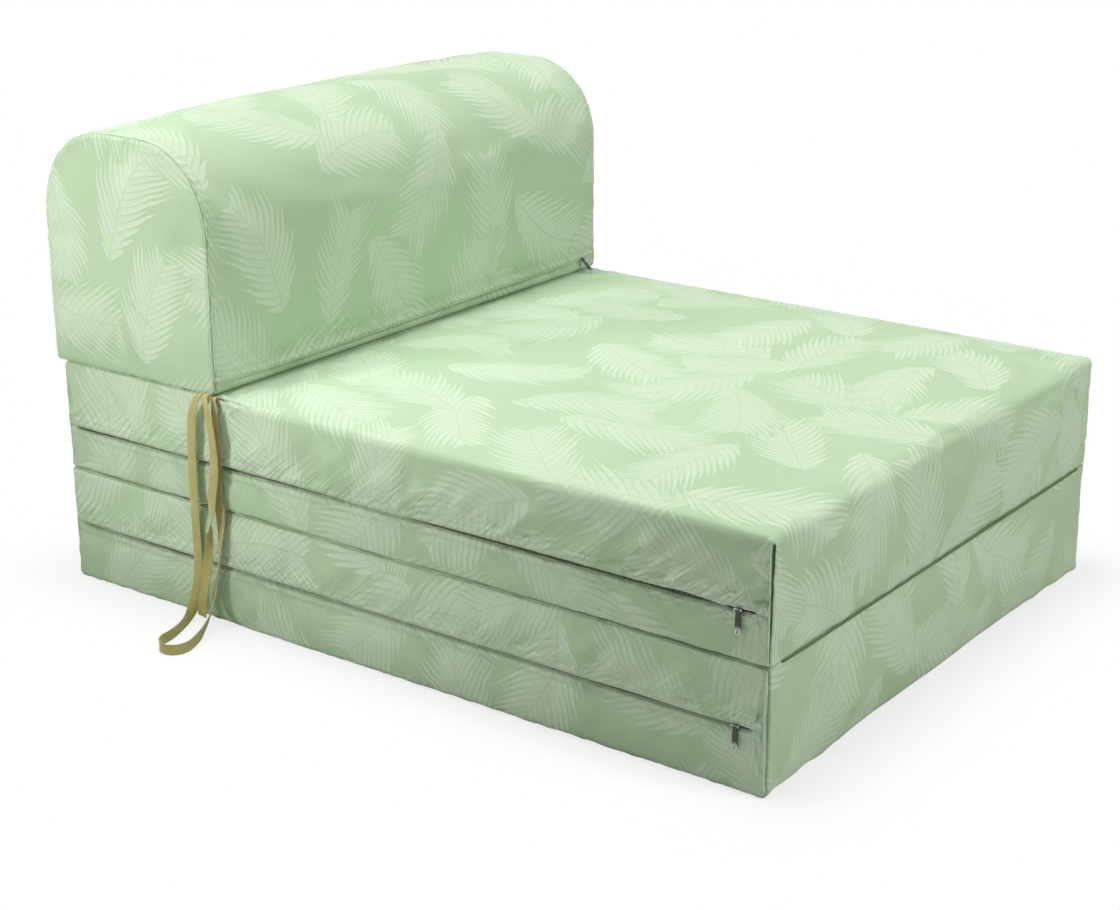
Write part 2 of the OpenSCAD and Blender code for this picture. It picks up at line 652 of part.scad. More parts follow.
base_foam();
base_cover_wrap();
base_cover_plain_side();
base_cover_zip_side_upper();
base_cover_zip_side_lower();
base_zip_tape_upper();
base_zip_tape_lower();
base_zip_teeth_upper();
base_zip_teeth_lower();
base_zip_stops();
base_zip_slider();
base_zip_pull();
seat_foam();
seat_cover_wrap();
seat_cover_plain_side();
seat_cover_zip_side_upper();
seat_cover_zip_side_lower();
seat_zip_tape_upper();
seat_zip_tape_lower();
seat_zip_teeth_upper();
seat_zip_teeth_lower();
seat_zip_stops();
seat_zip_slider();
seat_zip_pull();
backrest_foam();
backrest_cover_wrap();
backrest_cover_base();
backrest_cover_left_end();
backrest_cover_right_end();
backrest_zip_tape_upper();
backrest_zip_tape_lower();
backrest_zip_teeth_upper();
backrest_zip_teeth_lower();
backrest_zip_stops();
backrest_zip_slider();
backrest_zip_pull();
front_hinge_base_tape();
front_hinge_seat_tape();
rear_hinge_seat_tape();
rear_hinge_backrest_tape();
tie_loop();
tie_tail();
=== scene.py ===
import math
from functools import partial
import bpy
import numpy as np
from mathutils import Matrix, Vector


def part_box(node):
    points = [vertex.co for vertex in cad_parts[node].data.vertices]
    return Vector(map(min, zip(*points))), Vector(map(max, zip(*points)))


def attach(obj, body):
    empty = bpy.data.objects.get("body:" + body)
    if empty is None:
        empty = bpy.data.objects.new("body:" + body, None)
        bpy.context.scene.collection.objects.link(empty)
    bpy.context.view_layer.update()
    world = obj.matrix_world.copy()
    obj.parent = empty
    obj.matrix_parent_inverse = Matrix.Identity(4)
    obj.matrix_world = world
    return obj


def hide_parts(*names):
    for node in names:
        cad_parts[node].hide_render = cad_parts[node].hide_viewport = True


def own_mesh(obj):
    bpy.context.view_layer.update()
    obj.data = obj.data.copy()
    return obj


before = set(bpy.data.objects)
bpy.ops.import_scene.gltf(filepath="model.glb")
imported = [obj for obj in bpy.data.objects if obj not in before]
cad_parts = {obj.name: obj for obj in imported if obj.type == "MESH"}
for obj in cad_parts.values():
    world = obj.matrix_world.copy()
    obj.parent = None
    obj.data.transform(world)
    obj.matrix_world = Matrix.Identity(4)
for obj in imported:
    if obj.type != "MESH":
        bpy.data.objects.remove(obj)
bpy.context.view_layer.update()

mm = 0.001


# Camera: where the photograph was taken from
cameraSettings = {
    "place": (-1.8571, -1.3575, 0.9437),
    "yaw": 36.575,  # degrees from +X towards +Y
    "pitch": 19.24,  # degrees down
    "roll": 0.17,
    "lens": 69.6,  # mm on a 36 mm wide sensor
}


def addCamera(look):
    yaw, pitch, roll = (math.radians(look[k]) for k in ("yaw", "pitch", "roll"))
    bpy.ops.object.camera_add(location=look["place"])
    camera = bpy.context.object
    turn = Matrix.Rotation(yaw - math.pi / 2, 3, "Z") @ Matrix.Rotation(math.pi / 2 - pitch, 3, "X")
    camera.rotation_euler = (turn @ Matrix.Rotation(-roll, 3, "Z")).to_euler()
    camera.data.lens = look["lens"]
    camera.data.sensor_width = 36
    camera.data.sensor_fit = "HORIZONTAL"
    camera.data.clip_end = 60
    bpy.context.scene.camera = camera


addCamera(cameraSettings)
print("camera set")


# Small helpers for meshes
def deselectAll():
    for thing in list(bpy.context.selected_objects):
        thing.select_set(False)


def activate(piece):
    deselectAll()
    piece.select_set(True)
    bpy.context.view_layer.objects.active = piece


# A grid whose points, uvs and attributes are arrays of rows and columns
def gridPiece(name, points, u, v, **attributes):
    rows, columns = points.shape[:2]
    deselectAll()
    bpy.ops.mesh.primitive_grid_add(x_subdivisions=columns - 1, y_subdivisions=rows - 1, size=1)
    piece = bpy.context.object
    piece.name = piece.data.name = name
    mesh = piece.data
    mesh.vertices.foreach_set("co", points.reshape(-1))
    corner = np.zeros(len(mesh.loops), np.int32)
    mesh.loops.foreach_get("vertex_index", corner)
    for layer in list(mesh.uv_layers):
        mesh.uv_layers.remove(layer)
    layer = mesh.uv_layers.new(name="cloth")
    uvs = np.stack(np.broadcast_arrays(u, v), axis=-1).reshape(-1, 2)
    layer.data.foreach_set("uv", uvs[corner].reshape(-1))
    for key, values in attributes.items():
        held = mesh.attributes.new(key, "FLOAT", "POINT")
        held.data.foreach_set("value", np.asarray(values, float).reshape(-1))
    mesh.update()
    return piece


# Joins patches into one piece and welds the edges that meet
def sew(name, patches, gap=0.02 * mm):
    activate(patches[0])
    for patch in patches[1:]:
        patch.select_set(True)
    bpy.ops.object.join()
    piece = bpy.context.object
    piece.name = piece.data.name = name
    bpy.ops.object.mode_set(mode="EDIT")
    bpy.ops.mesh.select_all(action="SELECT")
    bpy.ops.mesh.remove_doubles(threshold=gap)
    bpy.ops.mesh.dissolve_degenerate(threshold=gap / 2)
    bpy.ops.mesh.normals_make_consistent(inside=False)
    bpy.ops.object.mode_set(mode="OBJECT")
    return piece


def applyModifier(piece, kind, **settings):
    activate(piece)
    modifier = piece.modifiers.new(kind.lower(), kind)
    for key, value in settings.items():
        setattr(modifier, key, value)
    bpy.ops.object.modifier_apply(modifier=modifier.name)


def smooth(piece, angle=None):
    activate(piece)
    if angle is None:
        bpy.ops.object.shade_smooth()
    else:
        bpy.ops.object.shade_smooth_by_angle(angle=math.radians(angle))


def readPoints(piece, key="co"):
    values = np.zeros(len(piece.data.vertices) * 3)
    piece.data.vertices.foreach_get(key, values)
    return values.reshape(-1, 3)


def writePoints(piece, points):
    piece.data.vertices.foreach_set("co", np.asarray(points, float).reshape(-1))
    piece.data.update()


def readAttribute(piece, key):
    values = np.zeros(len(piece.data.vertices))
    piece.data.attributes[key].data.foreach_get("value", values)
    return values


# A bell's height that far from its middle
def bell(away, reach):
    return np.exp(-(away / reach) ** 2)


# Runs smoothly from 0 to 1
def ease(share):
    return share * share * (3 - 2 * share)


# Each piece goes under its body, and the solids it stands for are hidden
def register(piece, body, slot, *solids):
    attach(piece, body)
    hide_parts(*solids)


# Smooth noise from -1 to 1 over two coordinates, with one lump to a unit
def softNoise(a, b, seed):
    table = np.random.default_rng(seed).uniform(-1, 1, (64, 64))
    a, b = np.asarray(a, float) + 1000, np.asarray(b, float) + 1000
    i, j = np.floor(a).astype(int), np.floor(b).astype(int)
    s, t = ease(a - i), ease(b - j)
    low = table[i % 64, j % 64] * (1 - s) + table[(i + 1) % 64, j % 64] * s
    high = table[i % 64, (j + 1) % 64] * (1 - s) + table[(i + 1) % 64, (j + 1) % 64] * s
    return low * (1 - t) + high * t


# Ribbon tie: the routes are the ones that the solids follow
along, upright = (0, 1, 0), (0, 0, 1)
tieSettings = {
    "width": 12 * mm,
    "thickness": 0.9 * mm,
    "stepsBetween": 5,  # rings added between two points of a route
    "across": 6,
    "cup": 0.5 * mm,  # how far the ribbon's edges curl
    "loop": [
        ((-341, 228, 251), along, 0.42), ((-342, 228, 256), along, 0.42),
        ((-346, 230, 259), along, 0.48), ((-350, 233, 256), along, 0.6),
        ((-351, 240, 240), along, 0.9), ((-350, 245, 218), along, 1),
        ((-350, 247, 170), along, 1), ((-350, 247, 115), along, 1),
        ((-350, 247, 70), along, 1), ((-351, 249, 40), (-0.2, 1, 0), 1),
        ((-355, 251, 20), (-0.5, 0.8, 0.4), 1), ((-366, 248, 10), (-0.3, 0.3, 0.9), 1),
        ((-386, 239, 7), upright, 1), ((-408, 231, 7), upright, 1),
        ((-426, 228, 7), upright, 1), ((-437, 220, 7), upright, 1),
        ((-440, 208, 7), upright, 1), ((-434, 198, 7), upright, 1),
        ((-420, 195, 7), upright, 1), ((-398, 203, 7), upright, 1),
        ((-378, 214, 8), (0, -0.2, 1), 1), ((-362, 220, 18), (-0.5, -0.6, 0.6), 0.9),
        ((-353, 220, 38), (-0.6, -0.8, 0.1), 0.7), ((-350, 217, 65), (-0.7, -0.7, 0), 0.7),
        ((-349, 213, 95), (-0.4, -0.9, 0), 0.8), ((-348, 211, 122), (0, -1, 0), 1),
        ((-348, 213, 150), (0, -1, 0), 1), ((-348, 212, 185), (0, -1, 0), 0.9),
        ((-348, 211, 220), (0, -1, 0), 0.8), ((-348, 212, 244), (0, -1, 0), 0.6),
        ((-346, 213, 256), (0, -1, 0), 0.42), ((-342, 213, 257), (0, -1, 0), 0.42),
        ((-341, 213, 251), (0, -1, 0), 0.42),
    ],
    "tail": [
        ((-341, 221, 251), along, 0.42), ((-342, 221, 257), along, 0.42),
        ((-347, 221, 261), along, 0.45), ((-353, 219, 256), along, 0.5),
        ((-355, 214, 238), along, 0.7), ((-355, 210, 212), along, 0.8),
        ((-355, 209, 182), along, 0.95), ((-355, 214, 155), along, 1),
        ((-355, 217, 133), (0.2, 1, 0), 0.9), ((-356, 219, 118), (0.7, 0.7, 0), 0.7),
        ((-356, 221, 104), (1, -0.2, 0), 0.7), ((-356, 223, 90), (0.7, -0.7, 0), 0.8),
        ((-356, 226, 70), (0.2, -1, 0), 1), ((-356, 231, 48), (0, -1, 0), 1),
        ((-357, 235, 28), (0, -1, 0), 1), ((-357, 238, 8), (0, -1, 0), 1),
    ],
}


def lengthAlong(points):
    return np.concatenate([[0], np.cumsum(np.linalg.norm(np.diff(points, axis=0), axis=1))])


# A curve through every point, with steps rings between two of them
def smoothRoute(values, steps):
    values = np.asarray(values, float)
    padded = np.vstack([2 * values[0] - values[1], values, 2 * values[-1] - values[-2]])
    curve = []
    for i in range(len(values) - 1):
        a, b, c, d = padded[i:i + 4]
        for t in np.linspace(0, 1, steps, endpoint=False):
            curve.append(0.5 * (2 * b + (c - a) * t + (2 * a - 5 * b + 4 * c - d) * t ** 2
                    + (3 * b - a - 3 * c + d) * t ** 3))
    return np.array(curve + [values[-1]])


def ribbon(name, node, route):
    steps = tieSettings["stepsBetween"]
    path = smoothRoute([np.array(p) * mm for p, w, s in route], steps)
    widthWay = smoothRoute([w for p, w, s in route], steps)
    share = smoothRoute([[s] for p, w, s in route], steps)[:, 0]
    ahead = np.gradient(path, axis=0)
    ahead /= np.linalg.norm(ahead, axis=1)[:, None]
    flat = np.cross(ahead, widthWay)
    flat /= np.linalg.norm(flat, axis=1)[:, None]
    side = np.cross(flat, ahead)
    t = np.linspace(-1, 1, tieSettings["across"] + 1)
    half = tieSettings["width"] / 2
    points = (path[None] + t[:, None, None] * side[None] * (half * share)[None, :, None]
              + (t ** 2 * tieSettings["cup"])[:, None, None] * flat[None])
    run = lengthAlong(path)
    piece = gridPiece(name, points, run[None], t[:, None] * half)
    applyModifier(piece, "SOLIDIFY", thickness=tieSettings["thickness"], offset=0)
    smooth(piece, 60)
    register(piece, "seat", "ribbon", node)
    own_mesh(piece)
    return piece


ribbons = [ribbon("tieLoop", "tie_loop", tieSettings["loop"]),
           ribbon("tieTail", "tie_tail", tieSettings["tail"])]
print("ribbons made")


# Cushion covers: a wrap of one length of cloth, and side panels sewn in at the seams
coverSettings = {
    "edge": 2.7 * mm,  # how far the cloth rolls over at a side seam
    "softEdge": 7 * mm,  # the same along the seat's top, where the cloth runs on without a seam
    "step": 8.8 * mm,  # cell size round the outline
    "middleStep": 13 * mm,  # cell size across the middle
    "edgeSteps": [3 * mm, 7 * mm, 13 * mm, 21 * mm, 31 * mm],
    "hemRows": [1.2 * mm, 3.4 * mm, 5.8 * mm, 8 * mm, 9.6 * mm, 11.4 * mm, 15 * mm],
    "stripShares": [0.12, 0.28, 0.46, 0.64, 0.82],
    "hemStep": 1.1 * mm,  # the folded hem is that much thicker
    "lipOut": 2.0 * mm,  # the upper hem hangs out over the lower one
    "seamDepth": 1.2 * mm,
    "channel": 0.7 * mm, "channelReach": 15 * mm,  # the blocks draw back from each other by their edges
    "gap": 1.1 * mm,  # half the opening of a zip
    "sharpReach": 26 * mm,  # the rounded edges draw up to a corner that far from a seam
}
halfWidth = 340 * mm
footY, headY, backFront = -462.75 * mm, 452.25 * mm, 216.25 * mm
rollAngles = [math.radians(a) for a in (45, 30, 15, 0)]
rollLoss = 1 - math.pi / 4  # a rolled edge is that much of its radius shorter than a sharp one


def outline(corners, radii, step, arcSteps):
    points, normals, corners = [], [], [Vector(c) for c in corners]
    count = len(corners)
    for k in range(1, count + 1):
        before, here, after = corners[k - 1], corners[k % count], corners[(k + 1) % count]
        inWay, outWay = (here - before).normalized(), (after - here).normalized()
        r = radii[k % count]
        start, end = before + inWay * radii[k - 1], here - inWay * r
        normal = Vector((inWay.y, -inWay.x))
        pieces = max(1, round((end - start).length / step))
        for i in range(pieces):
            points.append(start.lerp(end, i / pieces))
            normals.append(normal)
        centre = end - normal * r
        turn = normal.angle_signed(Vector((outWay.y, -outWay.x)))
        for i in range(arcSteps):
            bent = normal.copy()
            bent.rotate(Matrix.Rotation(-turn * i / arcSteps, 2))
            points.append(centre + bent * r)
            normals.append(bent)
    return np.array(points + points[:1]), np.array(normals + normals[:1])


def fall(share):
    return 1 - np.abs(share) ** 4


# Places across the width: x, how far the edge has rolled in, and the way to the seam
def acrossLines(e):
    left = [(e - halfWidth - e * math.sin(a), e * (1 - math.cos(a)), e * (rollAngles[0] - a))
            for a in rollAngles]
    left += [(e - halfWidth + d, 0 * e, e * rollAngles[0] + d) for d in coverSettings["edgeSteps"]]
    reach = -left[-1][0]
    cells = round(2 * (halfWidth - coverSettings["edgeSteps"][-1]) / coverSettings["middleStep"])
    places = [share * reach for share in np.linspace(-1, 1, cells + 1)[1:-1]]
    middle = [(x, 0 * e, halfWidth - rollLoss * e - np.abs(x)) for x in places]
    return np.array(left + middle + [(-x, d, s) for x, d, s in reversed(left)]).transpose(1, 0, 2)


def wrapPatch(path, shift):
    x, inset, seam = acrossLines(path["edge"])
    points, normals = path["points"][None], path["normals"][None]
    peak = path["sharp"][None] * np.exp(-seam / coverSettings["sharpReach"])
    nearSeam = bell(np.maximum(seam - 2 * mm, 0), coverSettings["channelReach"])
    channel = path["facing"][None] * np.maximum(nearSeam, path["nearFoot"][None]) * coverSettings["channel"]
    out = fall(1 - seam / halfWidth) * path["swell"][None] - inset + peak - channel
    yz = points + out[..., None] * normals
    yz[..., 1] += path["opening"](x) * path["lip"][None] - path["droop"](x) * path["droopShare"][None]
    xs = x + 0 * yz[..., 0]
    runs = lengthAlong(path["points"])[None] + 0 * xs
    flat = np.sign(x) * (halfWidth - rollLoss * path["edge"] - seam)
    return gridPiece("wrap", np.dstack([xs, yz]), flat + shift[0], runs + shift[1], along=runs, lane=xs,
            seam=seam + path["unsewn"], hem=path["hem"][None] + 0 * xs, side=0 * xs)


# A side panel, in rows from its seam to the line that goal gives for each outline point
def sidePatch(side, points, normals, goal, bulge, shift, lipOut=None, e=None, unsewn=0, over=None):
    e = coverSettings["edge"] + np.zeros(len(points)) if e is None else e
    rows = []  # each row: how far out, its points, way from the seam, way from the hem
    for a in rollAngles:
        turn = math.pi / 2 - a
        rows.append((e * math.sin(turn) - e, points - (e * (1 - math.cos(turn)))[:, None] * normals,
                     e * (rollAngles[0] - a), 1))
    start = points - e[:, None] * normals
    way = goal - start
    length = np.linalg.norm(way, axis=1)
    way = way / np.maximum(length, 1e-9)[:, None]
    seamWay = e * rollAngles[0]
    hemRows = np.array(coverSettings["hemRows"] if lipOut is not None else [12 * mm, 30 * mm])
    squeeze = np.minimum(1, length / (1.5 * hemRows[-1]))
    for share in coverSettings["stripShares"]:
        d = share * (length - hemRows[-1] * squeeze)
        rows.append((bulge(start, d / length), start + d[:, None] * way, seamWay + d, length - d))
    for h in reversed(hemRows):
        d = length - h * squeeze
        out = bulge(start, d / length)
        if lipOut is not None:
            out = out + lipOut * np.exp(-h / (8 * mm)) + (coverSettings["hemStep"] if h < 9.7 * mm else 0)
        rows.append((out, start + d[:, None] * way, seamWay + d, h * squeeze))
    if lipOut is None:
        rows.append((bulge(start, np.ones(len(start))), goal, seamWay + length, 1))
    else:
        rows.append((lipOut, goal, seamWay + length, 0))
        for depth, back in ((0.7, 0.0), (1.3, 0.5), (1.7, 2.5), (1.7, 8)):
            rows.append((lipOut - depth * mm, goal - way * (back * mm * squeeze)[:, None],
                         seamWay + length, -back * mm))
    count = len(points)
    out = np.array([row[0] + np.zeros(count) for row in rows])
    flat = np.array([row[1] for row in rows])
    seam = np.array([row[2] + np.zeros(count) for row in rows])
    hem = np.array([row[3] + np.zeros(count) for row in rows])
    xs = side * (halfWidth + out)
    u, v = flat[..., 0] * side, flat[..., 1]
    if over:  # the print runs on from the top over the edge
        u, v = side * (halfWidth + over["high"] - v - 0.49 * over["edgeAt"](u * side)), over["run"] - u * side
    hem = hem if lipOut is not None else hem * 0 + 1
    return gridPiece("sidePanel", np.dstack([xs, flat]), u + shift[0], v + shift[1], seam=seam + unsewn,
            hem=hem, side=0 * xs + 1, along=flat[..., 1] - flat[..., 0], lane=flat[..., 0])


# The covers' cloth, as the simulation sees it
slackSettings = {"frames": 20, "quality": 4, "mass": 0.25, "bending": 4, "sinkAtMost": 1 * mm}


# The cloth lies slack over the foam: it is let out a little, blown up and held at its seams
def slackenCloth(piece, look, hold):
    before, outWay = readPoints(piece), readPoints(piece, "normal")
    group = piece.vertex_groups.new(name="held")
    levels = np.round(np.clip(hold, 0, 1) * 10) / 10
    for level in np.unique(levels):
        group.add(np.nonzero(levels == level)[0].tolist(), float(level), "REPLACE")
    activate(piece)
    modifier = piece.modifiers.new("slack", "CLOTH")
    cloth = modifier.settings
    cloth.vertex_group_mass = "held"
    cloth.quality = slackSettings["quality"]
    cloth.mass = slackSettings["mass"]
    cloth.bending_stiffness = slackSettings["bending"]
    cloth.use_pressure = True
    cloth.uniform_pressure_force = look["pressure"]
    cloth.shrink_min = cloth.shrink_max = -look["slack"]
    cloth.effector_weights.gravity = 0
    modifier.point_cache.frame_start, modifier.point_cache.frame_end = 1, slackSettings["frames"]
    for frameNumber in range(1, slackSettings["frames"] + 1):
        bpy.context.scene.frame_set(frameNumber)
    bpy.ops.object.modifier_apply(modifier=modifier.name)
    bpy.context.scene.frame_set(1)
    moved = readPoints(piece) - before
    inward = np.minimum(np.sum(moved * outWay, axis=1) + slackSettings["sinkAtMost"], 0)
    moved -= inward[:, None] * outWay
    far = np.linalg.norm(moved, axis=1)
    moved *= (np.minimum(far, look["most"]) / np.maximum(far, 1e-9))[:, None]
    print(piece.name, "slackened, at most", round(float(far.max()) * 1000, 2), "mm before the cap")
    writePoints(piece, before + moved)
    piece.vertex_groups.clear()


puckerSettings = {
    "seamHeight": 0.8 * mm, "seamPitch": 10 * mm, "seamReach": 13 * mm, "seamLength": 60 * mm,
    "hemPitch": 11 * mm, "hemSlant": 1.2, "hemReach": 24 * mm, "hemLength": 42 * mm,
    "broad": 0.8 * mm, "small": 0.4 * mm,  # height of the cloth's unevenness elsewhere
    "stitchLine": 10.3 * mm, "stitchDepth": 0.7 * mm,
    "tapeClear": 0.5 * mm,  # the cloth sinks no further over the zip's tape
    "lowerLip": 0.2 * mm,  # and the lower hem stands no higher
    "sliderRoom": (40 * mm, 13 * mm, 24 * mm),  # the cloth lies flat under the slider and its pull
    "cornerWay": (0.95, 0.3, 0), "cornerReach": 4 * mm,
}


# Puckers and grooves that the seams and hems draw, on a mesh with a finer grid
def drawPuckers(piece, look):
    applyModifier(piece, "SUBSURF", levels=1, render_levels=1)
    points, normals = readPoints(piece), readPoints(piece, "normal")
    seam, run, hem, side = (readAttribute(piece, k) for k in ("seam", "along", "hem", "side"))
    x, y, z = points.T
    seed, draw = look["seed"], puckerSettings
    below, onSide = z < look["slit"], side > 0.5

    push = draw["seamHeight"] * softNoise(run / draw["seamPitch"], seam / draw["seamLength"], seed)
    push *= np.exp(-seam / draw["seamReach"])
    lanes = x if look["hemAlongX"] else y
    away = np.maximum(hem - 8 * mm, 0) / draw["hemReach"]
    nearHem = np.where((hem > 0) & (hem < 0.5), np.exp(-away), 0) * look["hemPucker"]
    nearHem *= np.clip(1.1 - (lanes + 0.1) / 0.45, 0.35, 1.3)  # stronger towards the foot
    nearHem *= np.clip((hem - 1 * mm) / (9 * mm), 0.12, 1) * np.where(below, 0.45, 1)
    lanes = (lanes + draw["hemSlant"] * hem) / draw["hemPitch"]
    push += nearHem * softNoise(lanes, hem / draw["hemLength"], seed + 1)
    push += draw["broad"] * softNoise(x / 0.12 + z / 0.1, y / 0.14, seed + 2)
    push += draw["small"] * softNoise(x / 0.045, y / 0.05 + z / 0.05, seed + 3)
    push -= draw["stitchDepth"] * bell(hem - draw["stitchLine"], 1.1 * mm)
    push = np.where(onSide & (hem < 13 * mm), np.maximum(push, -draw["tapeClear"]), push)
    push = np.where(onSide & (hem < 6 * mm) & below, np.minimum(push, draw["lowerLip"]), push)
    # The strip under the backrest's zip stays flat over the zip's tape
    strip = (z > look["flatLow"]) & (z < look["flatHigh"]) & (y < backFront + 12 * mm)
    push = np.where(strip, 0.12 * push, push)
    if look["slider"]:
        away = np.linalg.norm((points - look["slider"]) / np.array(draw["sliderRoom"]), axis=1)
        push *= 1 - 0.9 * np.exp(-away ** 4)
    depth = np.where(np.abs(normals[:, 2]) < 0.35, 1, 0.4) * coverSettings["seamDepth"]
    push -= depth * bell(seam, 1.3 * mm)
    for place, reach, amount in look["folds"]:
        away = np.linalg.norm(points - np.array(place), axis=1)
        angle = np.arctan2(y - place[1], z - place[2] + x - place[0])
        push += amount * bell(away, reach) * np.sin(9 * angle)
    if look["openCorner"]:
        # The wrap's edge rolls out at the foot's left corner, and its seam gapes towards the top
        level = np.clip((z - look["low"]) / (look["high"] - look["low"]), 0, 1)
        corner = (x < -0.3) & (y < footY + 9 * mm) & (z < look["high"] - 4 * mm)
        gape = np.where(corner, (0.1 + 0.9 * level) * look["openCorner"], 0)
        push += np.where(side < 0.5, 0.1, 0.02) * gape * bell(seam - 6 * mm, draw["cornerReach"])
        sunk = gape * np.exp(-(seam / ((0.4 + 1.2 * level) * mm)) ** 4)
        points = points + sunk[:, None] * np.array(draw["cornerWay"])
    points = points + normals * push[:, None]
    points[:, 2] = np.maximum(points[:, 2], look["low"])
    under = (points[:, 1] > backFront) & (look["high"] < 0.3)
    points[under, 2] = np.minimum(points[under, 2], look["high"])
    writePoints(piece, points)
    smooth(piece)


# How firmly each point is held: fast along the seams and hems, loose between them
def clothHold(piece):
    seam, hem = readAttribute(piece, "seam"), readAttribute(piece, "hem")
    return np.where(hem < 12 * mm, 1, 0.1 + 0.9 * np.exp(-np.maximum(seam - 2 * mm, 0) / (9 * mm)))


def finishCover(piece, look, body, replaced, hold):
    seam, hem, side = (readAttribute(piece, k) for k in ("seam", "hem", "side"))
    panel = piece.vertex_groups.new(name="panel")
    panel.add(np.nonzero((side > 0.5) & (seam > 6 * mm) & (hem > 0.9))[0].tolist(), 1, "REPLACE")
    applyModifier(piece, "SMOOTH", factor=0.6, iterations=30, use_y=False, use_z=False, vertex_group="panel")
    piece.vertex_groups.clear()
    slackenCloth(piece, look, hold)
    drawPuckers(piece, look)
    register(piece, body, "cover_cloth", *replaced)
    return piece


blockSettings = {
    "base": {"low": 0.0, "high": 130 * mm, "crown": 0.5 * mm, "slit": 66.3 * mm,
             "gapes": [(-0.30, 0.05, 0.6 * mm), (-0.441, 0.006, 1.5 * mm)], "openCorner": 1.0 * mm,
             "shift": (0.37, 0.11), "folds": [], "softTop": False, "footEdge": 5 * mm,
             "radii": [12 * mm, 9 * mm, 2 * mm, 12 * mm], "facing": 1, "hemPucker": 2.4 * mm},
    "seat": {"low": 130.4 * mm, "high": 255.4 * mm, "crown": 5 * mm, "slit": 180.4 * mm,
             "gapes": [(-0.372, 0.022, 1.7 * mm), (-0.20, 0.06, 0.4 * mm), (-0.441, 0.006, 1.8 * mm)],
             "openCorner": 12 * mm, "softTop": True, "footEdge": 2.7 * mm,
             "radii": [9 * mm, 12 * mm, 13 * mm, 2 * mm], "facing": -1, "hemPucker": 4.6 * mm,
             "shift": (0.0, 0.0),
             "folds": [((-0.335, 0.206, 0.252), 0.035, 2.2 * mm), ((-0.340, -0.430, 0.195), 0.03, 0.9 * mm)]},
}
for key, seed in (("base", 11), ("seat", 23)):
    blockSettings[key].update(seed=seed, radius=13 * mm, swell=2.5 * mm, bulge=2.2 * mm, sharp=2.6 * mm,
            hemAlongX=False, flatLow=0, flatHigh=0, pressure=2.0, slack=0.018,
            slider=(-0.340, -0.431, blockSettings[key]["slit"] - 10 * mm),
            most=4.5 * mm, fill=0.85)


